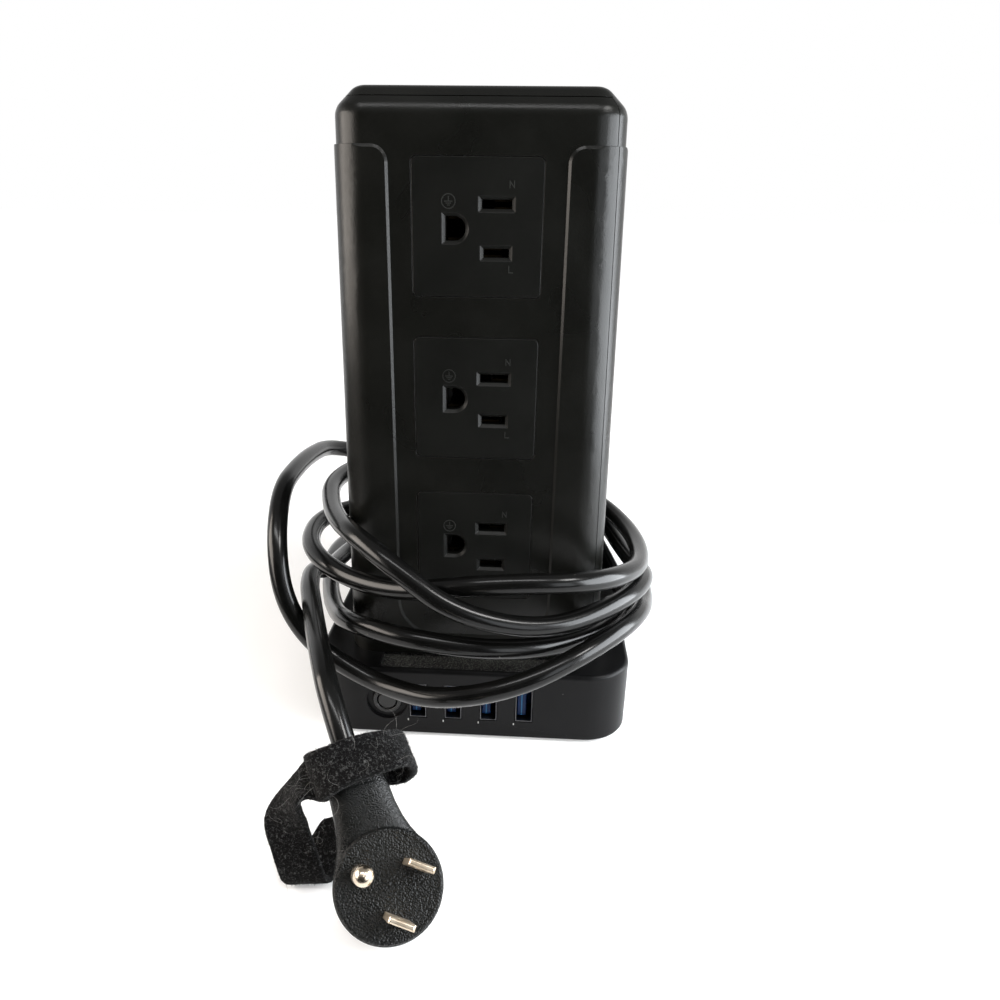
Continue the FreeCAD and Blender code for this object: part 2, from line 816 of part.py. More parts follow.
def make_breaker_body():
    middle = vec(breaker_across, 0, breaker_level)
    inner_face = breaker_inner_face
    back = inner_face + breaker_body_depth
    body = box(breaker_across - breaker_body_width / 2, breaker_across + breaker_body_width / 2,
               inner_face, back, floor_level + breaker_body_foot_gap,
               deck_underside - screw_head_height - breaker_body_head_gap)
    collar = Part.makeCylinder(collar_radius, inner_face + 1, middle + vec(0, 0.1, 0), vec(0, 1, 0))
    rim = [edge for edge in collar.Edges if edge.BoundBox.YMax < 0.2]
    collar = collar.makeChamfer(0.5, rim)
    bore_depth = inner_face + 5
    bore = Part.makeCylinder(collar_bore_radius, bore_depth, middle + vec(0, 0, 0), vec(0, 1, 0))
    terminals = [centred_box(breaker_terminal_thickness, breaker_terminal_length + 0.1,
                             breaker_terminal_height,
                             middle + vec(offset, back + breaker_terminal_length / 2 - 0.05, 0))
                 for offset in (-breaker_terminal_offset, breaker_terminal_offset)]
    return on_base_front(one_solid(fuse_all([body, collar] + terminals).cut(bore)))


def make_breaker_button():
    middle = vec(breaker_across, 0, breaker_level)
    stem_end = base_wall + 5 - button_travel - 0.2
    stem = Part.makeCylinder(button_radius, stem_end - 0.2, middle + vec(0, 0.2, 0), vec(0, 1, 0))
    rim = [edge for edge in stem.Edges if edge.BoundBox.YMax < 0.3]
    return on_base_front(one_solid(stem.makeFillet(0.6, rim)))


# Rocker switch

def make_rocker_frame():
    floor = pocket_depth
    middle = vec(0, 0, switch_level)
    lip = centred_box(rocker_frame_width, rocker_frame_lip, rocker_frame_height,
                      middle + vec(0, floor - rocker_frame_lip / 2, 0))
    tube = centred_box(rocker_tube_width, rocker_tube_depth, rocker_tube_height,
                       middle + vec(0, floor + rocker_tube_depth / 2, 0))
    well_depth = rocker_tube_depth - 3 + rocker_frame_lip
    well = centred_box(rocker_well_width, well_depth, rocker_well_height,
                       middle + vec(0, floor - rocker_frame_lip + well_depth / 2, 0))
    tabs = [centred_box(4.8, 6, 0.8, middle + vec(offset, floor + rocker_tube_depth + 2.9, 0))
            for offset in (-6, 0, 6)]
    frame = fuse_all([lip, tube] + tabs).cut(well)
    pivot = Part.makeCylinder(rocker_pivot_radius + rocker_pivot_clearance, rocker_height + 2.6,
                              rocker_pivot() - vec(0, 0, rocker_height / 2 + 1.3))
    return one_solid(frame.cut(pivot))


def rocker_pivot():
    """The rocker's axis, in the coordinates of the base's front."""
    return vec(0, pocket_depth + 2.6, switch_level)


def make_rocker():
    pivot = rocker_pivot()
    half = rocker_width / 2
    crown = pivot.y - 4.1
    valley = pivot.y - 3.3
    points = [vec(-half, pivot.y + 0.6, 0), vec(-half, crown, 0), vec(0, valley, 0), vec(half, crown, 0),
              vec(half, pivot.y + 0.6, 0), vec(2.2, pivot.y + 3.2, 0), vec(-2.2, pivot.y + 3.2, 0)]
    outline = Part.makePolygon(points + [points[0]])
    paddle = Part.Face(outline).extrude(vec(0, 0, rocker_height))
    paddle.translate(vec(0, 0, switch_level - rocker_height / 2))
    pins = Part.makeCylinder(rocker_pivot_radius, rocker_height + 2.2,
                             pivot - vec(0, 0, rocker_height / 2 + 1.1))
    rocker = one_solid(fuse_all([paddle, pins]))
    rocker.rotate(pivot, up, rocker_tilt)
    return rocker


def make_lens():
    lens = Part.makeCylinder(lens_radius, base_wall - 0.1, vec(lamp_across, 0.1, switch_level), vec(0, 1, 0))
    flange = Part.makeCylinder(lens_radius + 0.7, 1.0, vec(lamp_across, base_wall + 0.05, switch_level),
                               vec(0, 1, 0))
    stem = Part.makeCylinder(lens_radius, 0.2, vec(lamp_across, base_wall - 0.05, switch_level), vec(0, 1, 0))
    return one_solid(fuse_all([lens, stem, flange]))


def make_lamp():
    start = base_wall + 1.05
    bulb = Part.makeCylinder(1.9, 8, vec(lamp_across, start, switch_level), vec(0, 1, 0))
    return bulb


# Surge board

def surge_board_posts():
    return [(x, y) for x in (surge_board_left + surge_post_side, surge_board_right - surge_post_side)
            for y in (surge_board_front + surge_post_end, surge_board_back - surge_post_end)]


def make_surge_board():
    return box(surge_board_left, surge_board_right, surge_board_front, surge_board_back,
               board_level, board_level + board_thickness)


def make_varistors():
    top = board_level + board_thickness
    first = surge_board_front + varistor_start
    room = surge_board_back - fuse_end - fuse_length - fuse_gap - first
    discs = []
    for number in range(varistor_count):
        place = vec(surge_board_middle, first + room * number / varistor_count, top + varistor_radius)
        discs.append(Part.makeCylinder(varistor_radius, varistor_thickness, place, vec(0, 1, 0)))
    return Part.makeCompound(discs)


def make_fuse():
    top = board_level + board_thickness
    start = surge_board_back - fuse_end - fuse_length
    return Part.makeCylinder(fuse_radius, fuse_length, vec(surge_board_middle, start, top + fuse_radius),
                             vec(0, 1, 0))


# Mains lead

def make_relief():
    """The tapered strain relief, with its flange behind the back wall."""
    wall_inner = base_half_width - base_wall
    flange = Part.makeCylinder(relief_flange_radius, 2.0, vec(relief_across, wall_inner - 2.05, relief_level),
                               vec(0, 1, 0))
    root = Part.makeCylinder(relief_root_radius, base_wall + 0.1,
                             vec(relief_across, wall_inner - 0.1, relief_level), vec(0, 1, 0))
    taper = Part.makeCone(relief_root_radius, relief_tip_radius, relief_length,
                          vec(relief_across, base_half_width, relief_level), vec(0, 1, 0))
    relief = fuse_all([flange, root, taper])
    for number in range(4):
        y = base_half_width + 4 + number * 3.6
        ring = Part.makeCylinder(relief_root_radius + 1, 1.2, vec(relief_across, y, relief_level),
                                 vec(0, 1, 0))
        core_radius = relief_root_radius - 0.9 - number * 0.25
        core = Part.makeCylinder(core_radius, 1.2, vec(relief_across, y, relief_level), vec(0, 1, 0))
        relief = relief.cut(ring.cut(core))
    return one_solid(relief)


def station_point(side, reach, along, height):
    places = {"left": vec(-reach, along, height), "front": vec(along, -reach, height),
              "right": vec(reach, along, height), "back": vec(along, reach, height)}
    return places[side]


def station_direction(side, swing, climb):
    headings = {"left": -90, "front": 0, "right": 90, "back": 180}
    heading = math.radians(headings[side] + swing)
    rise = math.radians(climb)
    return vec(math.cos(rise) * math.cos(heading), math.cos(rise) * math.sin(heading), math.sin(rise))


def arc_by_tangents(start, apex, end):
    """The arc from start to end whose tangents meet at apex, and its radius."""
    to_start = (start - apex).normalize()
    to_end = (end - apex).normalize()
    half_turn = (math.pi - to_start.getAngle(to_end)) / 2
    length = (start - apex).Length
    radius = length / math.tan(half_turn)
    towards = (to_start + to_end).normalize()
    centre_distance = radius / math.cos(half_turn)
    middle = apex + towards * (centre_distance - radius)
    return arc(start, middle, end), radius


def biarc(start, start_direction, end, end_direction):
    """Two tangent arcs between two points with given directions."""
    across = end - start
    both = start_direction + end_direction
    spread = 2 * (1 - start_direction.dot(end_direction))
    reach = across.dot(both)
    length = (math.sqrt(reach * reach + spread * across.dot(across)) - reach) / spread
    joint = (start + end + (start_direction - end_direction) * length) * 0.5
    first, first_radius = arc_by_tangents(start, start + start_direction * length, joint)
    second, second_radius = arc_by_tangents(joint, end - end_direction * length, end)
    return [first, second], [first_radius, second_radius]


def tube(edges, radius):
    path = Part.Wire(edges)
    start = edges[0].valueAt(edges[0].FirstParameter)
    direction = edges[0].tangentAt(edges[0].FirstParameter)
    ring = Part.Wire(Part.Circle(start, direction, radius).toShape())
    pipe = Part.BRepOffsetAPI.MakePipeShell(path)
    pipe.add(ring)
    pipe.build()
    pipe.makeSolid()
    return pipe.shape()


def report_tube(name, shape, edges, radii):
    length = sum(edge.Length for edge in edges)
    expected = length * math.pi * cord_diameter ** 2 / 4
    print("%s: length %.0f, least radius %.1f, volume %.4f of section x length"
          % (name, length, min(radii), shape.Volume / expected))
    print("  radii", " ".join("%.0f" % radius for radius in radii))


def make_winding():
    """The wound part of the lead: a straight diameter, two arcs for each quarter turn, a straight one."""
    points = [station_point(*station[:4]) for station in winding_stations]
    directions = [station_direction(station[0], *station[4:]) for station in winding_stations]
    edges = [line(points[0] - directions[0] * cord_diameter, points[0])]
    radii = []
    for number in range(len(points) - 1):
        pair, pair_radii = biarc(points[number], directions[number], points[number + 1],
                                 directions[number + 1])
        edges += pair
        radii += pair_radii
    edges.append(line(points[-1], points[-1] + directions[-1] * cord_diameter))
    winding = tube(edges, cord_diameter / 2)
    report_tube("cord_winding", winding, edges, radii)
    print("  least gap to itself %.2f" % least_gap(edges))
    start = points[0] - directions[0] * cord_diameter
    end = points[-1] + directions[-1] * cord_diameter
    return winding, edges, (start, directions[0]), (end, directions[-1])


def sampled(edges, step):
    points = []
    for edge in edges:
        count = max(2, int(round(edge.Length / step)) + 1)
        points += edge.discretize(count)[:-1]
    return points


def least_gap(edges):
    """Smallest surface gap between stretches of the tube that aren't neighbours."""
    step = 2.5
    skip = int(3 * cord_diameter / step)
    points = sampled(edges, step)
    best = 1e9
    for number, point in enumerate(points):
        for other in points[number + skip:]:
            distance = point.distanceToPoint(other)
            if distance < best:
                best = distance
    return best - cord_diameter


def least_distance(edges, other_edges, skip_start, skip_end):
    """Smallest surface gap between two tubes, past the stretches where they join."""
    step = 2.5
    points = sampled(edges, step)
    points = points[int(skip_start / step):len(points) - int(skip_end / step)]
    others = sampled(other_edges, step)
    best = min((point.distanceToPoint(other), number) for number, point in enumerate(points)
               for other in others)
    return best[0] - cord_diameter, points[best[1]]


def free_route(points):
    """Straight runs joined by tangent arcs, each as large as its two runs allow."""
    edges = []
    radii = []
    last = points[0]
    for number in range(1, len(points) - 1):
        before = points[number] - points[number - 1]
        after = points[number + 1] - points[number]
        reach = 0.45 * min(before.Length, after.Length)
        start = points[number] - before.normalize() * reach
        end = points[number] + after.normalize() * reach
        edges.append(line(last, start))
        bend, radius = arc_by_tangents(start, points[number], end)
        edges.append(bend)
        radii.append(radius)
        last = end
    edges.append(line(last, points[-1]))
    return edges, radii


def make_lead(winding_start, winding_direction):
    start = vec(relief_across, base_half_width + relief_length + relief_cord_gap, relief_level)
    points = [start] + [vec(*point) for point in lead_points]
    points.append(winding_start - winding_direction * 14)
    points.append(winding_start)
    edges, radii = free_route(points)
    lead = tube(edges, cord_diameter / 2)
    report_tube("cord_lead", lead, edges, radii)
    return lead, edges


def make_tail(winding_end, winding_direction):
    neck_end = plug_neck_tip()
    direction = plug_neck_direction()
    points = [winding_end, winding_end + winding_direction * 11]
    points += [vec(*point) for point in tail_points]
    points.append(neck_end + direction * 13)
    points.append(neck_end)
    edges, radii = free_route(points)
    tail = tube(edges, cord_diameter / 2)
    report_tube("cord_tail", tail, edges, radii)
    return tail, edges


# Plug

def plug_turn():
    return FreeCAD.Rotation(plug_ground_direction, vec(), plug_normal, "ZXY")


def on_plug(shape):
    """Seat a shape made with z out of the plug's face and x towards the ground pin."""
    seated = shape.copy()
    seated.Placement = FreeCAD.Placement(plug_face_centre, plug_turn()).multiply(shape.Placement)
    return seated


def neck_heading():
    angle = math.radians(neck_turn)
    return vec(math.cos(angle), math.sin(angle), 0)


def plug_neck_direction():
    return plug_turn().multVec(neck_heading())


def plug_neck_tip():
    middle = neck_heading() * neck_length + vec(0, 0, -plug_thickness / 2)
    return plug_face_centre + plug_turn().multVec(middle)


def make_plug_body():
    disc = Part.makeCylinder(plug_radius, plug_thickness, vec(0, 0, -plug_thickness))
    disc = disc.makeFillet(plug_edge_rounding, [edge for edge in disc.Edges if edge.Length > 1.5 * plug_radius
                                                and edge.BoundBox.ZLength < 0.1])
    # The neck is made along +Y and turned into place: a flat root, a round middle and a round tip
    half_thickness = plug_thickness / 2
    root = rounded_rectangle(neck_root_half, half_thickness - 0.6, 2.4, neck_root_offset)
    middle = rounded_rectangle(neck_middle_half, neck_middle_thickness / 2, 3.8, neck_middle)
    tip = rounded_rectangle(neck_tip_radius, neck_tip_radius, neck_tip_radius - 0.2, neck_length)
    neck = fuse_all([loft([root, middle]), loft([middle, tip])])
    neck.rotate(vec(0, 0, 0), vec(1, 0, 0), -90)
    neck.rotate(vec(0, 0, 0), up, neck_turn - 90)
    neck.translate(vec(0, 0, -half_thickness))
    body = fuse_all([disc, neck])
    for cutter in plug_blade_boxes(0.02) + [ground_pin_shape(0.02)]:
        body = body.cut(cutter)
    return one_solid(on_plug(body))


def plug_blade_boxes(clearance):
    boxes = []
    across = -plug_blade_line
    length = blade_length + pin_root
    for sign in (-1, 1):
        blade = centred_box(blade_width + 2 * clearance, blade_thickness + 2 * clearance, length,
                            vec(across, sign * blade_spacing / 2, blade_length / 2 - pin_root / 2))
        boxes.append(blade)
    return boxes


def make_plug_blades():
    blades = []
    for blade in plug_blade_boxes(0):
        tip_edges = [edge for edge in blade.Edges if edge.BoundBox.ZMin > blade_length - 0.1]
        blade = blade.makeChamfer(0.4, tip_edges)
        hole = Part.makeCylinder(1.4, 4, vec(-plug_blade_line, blade.BoundBox.Center.y - 2,
                                             blade_length - 4.5), vec(0, 1, 0))
        blades.append(blade.cut(hole))
    return on_plug(Part.makeCompound(blades))


def ground_pin_shape(clearance):
    place = vec(ground_pin_offset - plug_blade_line, 0, -pin_root)
    head = vec(0, 0, pin_root + ground_pin_length - ground_pin_radius)
    foot = vec(0, 0, pin_root + pin_root_rise)
    root = Part.makeCylinder(pin_root_radius + clearance, foot.z + 1, place)
    pin = Part.makeCylinder(ground_pin_radius + clearance, head.z - foot.z, place + foot)
    ball = Part.makeSphere(ground_pin_radius + clearance, place + head)
    return fuse_all([root, pin, ball])


def across_neck(along, side):
    """A point of the neck's middle plane, and the neck's and the plug's own directions there."""
    heading = plug_neck_direction()
    middle = plug_neck_tip() + heading * (along - neck_length)
    return middle + heading.cross(plug_turn().multVec(up)) * side


def strap_section(point, width_direction, travel):
    """The strap's rectangular section at a point, as a closed wire."""
    wide = vec(width_direction).normalize()
    thick = travel.cross(wide).normalize() * (strap_thickness / 2)
    wide = wide * (strap_width / 2)
    corners = [point + wide + thick, point - wide + thick, point - wide - thick, point + wide - thick]
    return Part.makePolygon(corners + [corners[0]])


def make_strap():
    half_height = neck_middle_thickness / 2 + strap_clearance + strap_thickness
    half_reach = (strap_right - strap_left) / 2
    outer = prism(rounded_rectangle(half_reach, half_height, half_height - 0.1, 0), strap_width)
    inner = prism(rounded_rectangle(half_reach - strap_thickness, half_height - strap_thickness,
                                    half_height - strap_thickness - 0.1, 0), strap_width)
    loop = outer.cut(inner)
    # Made along +Z, then laid along the neck
    loop.translate(vec((strap_left + strap_right) / 2, 0, strap_start))
    loop.rotate(vec(0, 0, 0), vec(1, 0, 0), -90)
    loop.rotate(vec(0, 0, 0), up, neck_turn - 90)
    loop.translate(vec(0, 0, -plug_thickness / 2))
    loop = on_plug(loop)

    start = across_neck(strap_start + strap_width / 2, strap_left + strap_thickness / 2)
    stops = [(start, plug_neck_direction())] + strap_tail
    sections = []
    for number, (point, width_direction) in enumerate(stops):
        before = stops[max(number - 1, 0)][0]
        after = stops[min(number + 1, len(stops) - 1)][0]
        sections.append(strap_section(point, width_direction, after - before))
    return one_solid(fuse_all([loop, loft(sections)]))


def main():
    save("base_housing", make_base_housing())
    save("base_bottom_plate", make_base_plate())
    save("rubber_feet", make_feet())
    save("base_screws", make_base_screws())

    front_left, rear_right = make_shells()
    save("front_left_shell", front_left)
    save("rear_right_shell", rear_right)
    save("shell_screws", make_shell_screws())
    outlet = make_outlet()
    strips = make_strips()
    for side in sides:
        for row, level in zip(rows, outlet_levels):
            insert = outlet.copy()
            insert.translate(vec(0, outlet_face, level))
            save("outlet_%s_%s" % (side, row), on_face(insert, side))
        for name, strip in strips.items():
            save("%s_strip_%s" % (name, side), on_face(strip, side))
    save("contact_column", make_column())

    port_shell = make_port_shell()
    tongue = make_port_tongue()
    for number, across in enumerate(port_places()):
        save("usb_shell_%d" % (number + 1), at_port(port_shell, across))
        save("usb_tongue_%d" % (number + 1), at_port(tongue, across))
    save("usb_board", make_usb_board())
    save("usb_converter", make_usb_converter())
    save("breaker_body", make_breaker_body())
    save("breaker_button", make_breaker_button())
    for name, shape in (("rocker_frame", make_rocker_frame()), ("power_rocker", make_rocker()),
                        ("indicator_lens", make_lens()), ("indicator_lamp", make_lamp())):
        save(name, on_side(on_base_front(shape), "right"))
    save("surge_board", make_surge_board())
    save("varistors", make_varistors())
    save("thermal_fuse", make_fuse())

    save("strain_relief", make_relief())
    winding, winding_edges, start, end = make_winding()
    lead, lead_edges = make_lead(*start)
    tail, tail_edges = make_tail(*end)
    print("lead to winding gap %.2f near %s" % least_distance(lead_edges, winding_edges, 0, 25))
    print("tail to winding gap %.2f near %s" % least_distance(tail_edges, winding_edges, 25, 0))
    total = sum(edge.Length for edge in winding_edges + lead_edges + tail_edges)
    print("whole lead %.0f" % total)
    save("cord_winding", winding)
    save("cord_lead", lead)
    save("cord_tail", tail)
    save("plug_body", make_plug_body())
    save("plug_blades", make_plug_blades())
    save("plug_ground_pin", on_plug(ground_pin_shape(0)))
    save("cord_strap", make_strap())


main()
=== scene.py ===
import bpy
import bmesh
import math
import random
from mathutils import Matrix, Vector, noise


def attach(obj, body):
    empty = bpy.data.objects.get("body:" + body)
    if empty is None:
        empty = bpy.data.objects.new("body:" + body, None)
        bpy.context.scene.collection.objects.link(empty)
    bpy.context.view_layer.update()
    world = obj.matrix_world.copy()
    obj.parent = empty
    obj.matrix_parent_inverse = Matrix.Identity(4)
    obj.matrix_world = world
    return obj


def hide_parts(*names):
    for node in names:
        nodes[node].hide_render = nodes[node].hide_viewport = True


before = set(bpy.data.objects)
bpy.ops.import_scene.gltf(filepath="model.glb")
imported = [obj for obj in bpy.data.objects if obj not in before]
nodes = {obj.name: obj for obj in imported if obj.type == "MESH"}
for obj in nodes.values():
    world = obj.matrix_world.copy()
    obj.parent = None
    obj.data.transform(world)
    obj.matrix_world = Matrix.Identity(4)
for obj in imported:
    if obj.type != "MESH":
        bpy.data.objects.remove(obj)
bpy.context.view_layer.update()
sides = ["front", "right", "back", "left"]
rows = ["lower", "middle", "upper"]
print("frame loaded,", len(nodes), "nodes")


def addObject(name, data):
    held = bpy.data.objects.new(name, data)
    bpy.context.scene.collection.objects.link(held)
    return held


# Camera
camera = {
    "place": (0.01638, -0.27558, 0.17081),
    "yaw": 3.094, "pitch": -23.359, "roll": -0.81,
    "lens": 28.41, "shiftX": 0.01415, "shiftY": 0.0392,
    "clipStart": 0.005, "clipEnd": 30,
}


def makeCamera():
    # looks along +Y before it is turned, with roll first and yaw last
    data = bpy.data.cameras.new("camera")
    data.lens = camera["lens"]
    data.shift_x = camera["shiftX"]
    data.shift_y = camera["shiftY"]
    data.clip_start = camera["clipStart"]
    data.clip_end = camera["clipEnd"]
    seen = addObject("camera", data)
    turn = (Matrix.Rotation(math.radians(camera["yaw"]), 4, "Z")
            @ Matrix.Rotation(math.radians(camera["pitch"]), 4, "X")
            @ Matrix.Rotation(math.radians(camera["roll"]), 4, "Y")
            @ Matrix.Rotation(math.radians(90), 4, "X"))
    seen.matrix_world = Matrix.Translation(camera["place"]) @ turn
    bpy.context.scene.camera = seen


makeCamera()

# Mains lead: one spline from the strain relief, round the tower and out to the plug, in millimetres
lead = {
    "diameter": 6.5,
    # straight runs before and after the winding, past one diameter each, and along the plug's neck
    "runIn": 14.0, "runOut": 11.0, "neckRun": 13.0,
    "exit": (27.0, 73.7, 13.0),
    "toWinding": [
        (27.0, 98.0, 12.0), (14.0, 117.0, 9.0), (-9.0, 124.0, 7.5), (-33.0, 117.0, 10.0),
        (-51.0, 98.0, 16.0), (-60.5, 73.0, 23.0), (-64.5, 46.0, 28.5),
    ],
    # side of the tower, reach, place along the side, height, swing and climb
    "winding": [
        ("left", 61.0, 7.0, 31.0, 11.5, 1.0),
        ("front", 67.0, -8.0, 45.0, -3.0, -6.0),
        ("right", 55.0, -8.5, 32.0, -1.5, -11.0),
        ("back", 64.0, 5.5, 52.0, -1.0, 0.5),
        ("left", 68.5, 31.0, 75.5, -2.0, 9.0),
        ("left", 63.5, -47.0, 58.0, 20.5, -62.0),
        ("front", 66.0, -19.5, 26.0, -32.5, 10.0),
        ("right", 57.2, -32.0, 41.2, -14.0, -14.0),
        ("back", 67.0, 11.0, 44.0, 6.5, -6.5),
        ("left", 62.5, -7.5, 56.5, 3.0, 2.5),
        ("front", 61.5, -10.0, 61.0, -16.5, 15.5),
        ("right", 49.5, -44.0, 60.5, -24.5, -13.0),
        ("back", 63.5, -0.5, 61.0, 0.0, 8.5),
        ("left", 53.5, -13.5, 72.5, 13.5, -0.5),
        ("front", 68.5, -15.5, 66.0, -15.0, -33.5),
        ("right", 59.0, -9.5, 46.0, 5.0, -14.0),
        ("back", 71.5, 12.5, 51.5, -10.0, -9.0),
        ("left", 57.5, 8.5, 37.5, -2.0, 9.5),
    ],
    "toPlug": [
        (-60.0, -21.0, 46.5), (-57.0, -37.0, 48.5), (-51.7, -53.0, 48.8), (-46.0, -70.0, 49.5),
        (-40.3, -86.0, 50.0),
    ],
    "length": 2.03,
    "stepsAlong": 10, "stepsRound": 8,
}
headings = {"left": -90, "front": 0, "right": 90, "back": 180}

# Plug frame: z out of its face, x towards the ground pin
plug = {
    "face": (-13.8, -133.6, 16.3),
    "normal": (0.216, -0.679, 0.701),
    "ground": (-0.938, 0.055, 0.342),
    "neckTurn": -50.0, "neckLength": 37.0, "thickness": 9.6, "radius": 13.6,
}


def plugMatrix():
    out = Vector(plug["normal"]).normalized()
    along = Vector(plug["ground"])
    along = (along - out * along.dot(out)).normalized()
    turn = Matrix((along, out.cross(along), out)).transposed().to_4x4()
    return Matrix.Translation(Vector(plug["face"]) * 0.001) @ turn @ Matrix.Scale(0.001, 4)


plugPlace = plugMatrix()
neckHeading = Matrix.Rotation(math.radians(plug["neckTurn"]), 3, "Z") @ Vector((1, 0, 0))
neckTip = plugPlace @ (neckHeading * plug["neckLength"] - Vector((0, 0, plug["thickness"] / 2)))
neckAway = (plugPlace.to_3x3() @ neckHeading).normalized()


def stationOf(side, reach, along, height, swing, climb):
    # the place and the direction of the lead where it passes the middle of a side
    places = {"left": (-reach, along), "front": (along, -reach), "right": (reach, along),
              "back": (along, reach)}
    heading = math.radians(headings[side] + swing)
    rise = math.radians(climb)
    flat = math.cos(rise)
    way = Vector((flat * math.cos(heading), flat * math.sin(heading), math.sin(rise)))
    return Vector((*places[side], height)), way


def cornersOf(start, apex, end):
    # Two control points for one arc, so that the spline lies on it
    toStart = (start - apex).normalized()
    toEnd = (end - apex).normalized()
    halfTurn = (math.pi - toStart.angle(toEnd)) / 2
    step = (start - apex).length / math.tan(halfTurn) * math.tan(halfTurn / 2)
    return [start - toStart * step, end - toEnd * step]


def windingPoints():
    # The control points of the turns: four for each quarter turn, from one station to the next
    stations = [stationOf(*station) for station in lead["winding"]]
    first, firstWay = stations[0]
    points = [first - firstWay * (lead["diameter"] + lead["runIn"]), first - firstWay * lead["diameter"]]
    for (start, startWay), (end, endWay) in zip(stations, stations[1:]):
        across = end - start
        both = startWay + endWay
        spread = 2 * (1 - startWay.dot(endWay))
        reach = across.dot(both)
        length = (math.sqrt(reach * reach + spread * across.dot(across)) - reach) / spread
        before = start + startWay * length
        after = end - endWay * length
        middle = (before + after) / 2
        points += cornersOf(start, before, middle) + cornersOf(middle, after, end)
    last, lastWay = stations[-1]
    return points + [last + lastWay * (lead["diameter"] + lead["runOut"])]


def leadPoints():
    points = [Vector(lead["exit"])] + [Vector(point) for point in lead["toWinding"]]
    points += windingPoints() + [Vector(point) for point in lead["toPlug"]]
    tip = neckTip * 1000
    return points + [tip + neckAway * lead["neckRun"], tip]


def makeSpline(name, points, steps, radius=1.0):
    # a curve along a spline through this control polygon
    data = bpy.data.curves.new(name, "CURVE")
    data.dimensions = "3D"
    spline = data.splines.new("NURBS")
    spline.points.add(len(points) - 1)
    for target, point in zip(spline.points, points):
        target.co = (*point, 1)
        target.radius = radius
    spline.order_u = 3
    spline.use_endpoint_u = True
    spline.resolution_u = steps
    return addObject(name, data)


def makeLead():
    points = [point * 0.001 for point in leadPoints()]
    cord = makeSpline("mainsLead", points, lead["stepsAlong"], lead["diameter"] / 2000)
    cord.data.bevel_depth = 1.0  # times the radius of each point
    cord.data.bevel_resolution = lead["stepsRound"]
    cord.data.use_fill_caps = True
    print("lead made from", len(points), "points")
    return cord


mainsLead = makeLead()
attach(mainsLead, "tower")
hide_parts("cord_lead", "cord_winding", "cord_tail")


# Shader groups and materials
def newGroup(name, numbers, outputs):
    # a group that takes a vector and these numbers
    group = bpy.data.node_groups.new(name, "ShaderNodeTree")
    group.interface.new_socket("Vector", in_out="INPUT", socket_type="NodeSocketVector")
    for label, value in numbers.items():
        socket = group.interface.new_socket(label, in_out="INPUT", socket_type="NodeSocketFloat")
        socket.default_value = value
    for label in outputs:
        group.interface.new_socket(label, in_out="OUTPUT", socket_type="NodeSocketFloat")
    return group, group.nodes.new("NodeGroupInput"), group.nodes.new("NodeGroupOutput")


def addNode(tree, kind, **values):
    node = tree.nodes.new(kind)
    for name, value in values.items():
        if hasattr(node, name):
            setattr(node, name, value)
        else:
            node.inputs[name.replace("_", " ")].default_value = value
    return node


def mathNode(tree, operation, first, second):
    node = tree.nodes.new("ShaderNodeMath")
    node.operation = operation
    for socket, value in zip(node.inputs, (first, second)):
        if isinstance(value, (int, float)):
            socket.default_value = value
        else:
            tree.links.new(value, socket)
    return node.outputs[0]


def rangeNode(tree, value, low, high, toLow=0.0, toHigh=1.0):
    node = tree.nodes.new("ShaderNodeMapRange")
    node.inputs["From Min"].default_value = low
    node.inputs["From Max"].default_value = high
    node.inputs["To Min"].default_value = toLow
    node.inputs["To Max"].default_value = toHigh
    tree.links.new(value, node.inputs["Value"])
    return node.outputs["Result"]


def axesOf(tree, vector):
    split = tree.nodes.new("ShaderNodeSeparateXYZ")
    tree.links.new(vector, split.inputs[0])
    return split.outputs


def makeGrainGroup():
    # Fine moulding grain: a height for bump and a slow patchiness for roughness and colour
    group, start, end = newGroup("mouldedGrain", {"Grain Scale": 3500.0, "Patch Scale": 60.0},
                                 ["Height", "Patches"])
    fine = addNode(group, "ShaderNodeTexNoise", Detail=2.0, Roughness=0.6)
    coarse = addNode(group, "ShaderNodeTexNoise", Detail=2.0, Roughness=0.5, Distortion=0.4)
    for node, scale in ((fine, "Grain Scale"), (coarse, "Patch Scale")):
        group.links.new(start.outputs["Vector"], node.inputs["Vector"])
        group.links.new(start.outputs[scale], node.inputs["Scale"])
    group.links.new(fine.outputs["Fac"], end.inputs["Height"])
    group.links.new(rangeNode(group, coarse.outputs["Fac"], 0.25, 0.75), end.inputs["Patches"])
    return group


def makeDustGroup():
    # Specks of dust: small pale dots, thinned out by a slow noise
    group, start, end = newGroup("dustSpecks", {"Scale": 900.0, "Size": 0.16, "Cover": 0.5}, ["Mask"])
    cells = addNode(group, "ShaderNodeTexVoronoi", Randomness=1.0)
    patch = addNode(group, "ShaderNodeTexNoise", Detail=3.0, Scale=120.0)
    group.links.new(start.outputs["Vector"], cells.inputs["Vector"])
    group.links.new(start.outputs["Scale"], cells.inputs["Scale"])
    group.links.new(start.outputs["Vector"], patch.inputs["Vector"])
    picked = mathNode(group, "GREATER_THAN", start.outputs["Cover"], cells.outputs["Color"])
    dot = mathNode(group, "LESS_THAN", cells.outputs["Distance"], start.outputs["Size"])
    mask = mathNode(group, "MULTIPLY", mathNode(group, "MULTIPLY", picked, dot),
                    rangeNode(group, patch.outputs["Fac"], 0.3, 0.5))
    group.links.new(mask, end.inputs["Mask"])
    return group


grainGroup = makeGrainGroup()
dustGroup = makeDustGroup()
dustTones = {"plastic": (0.07, 0.068, 0.064), "rubber": (0.2, 0.19, 0.17), "settled": (0.24, 0.24, 0.22)}


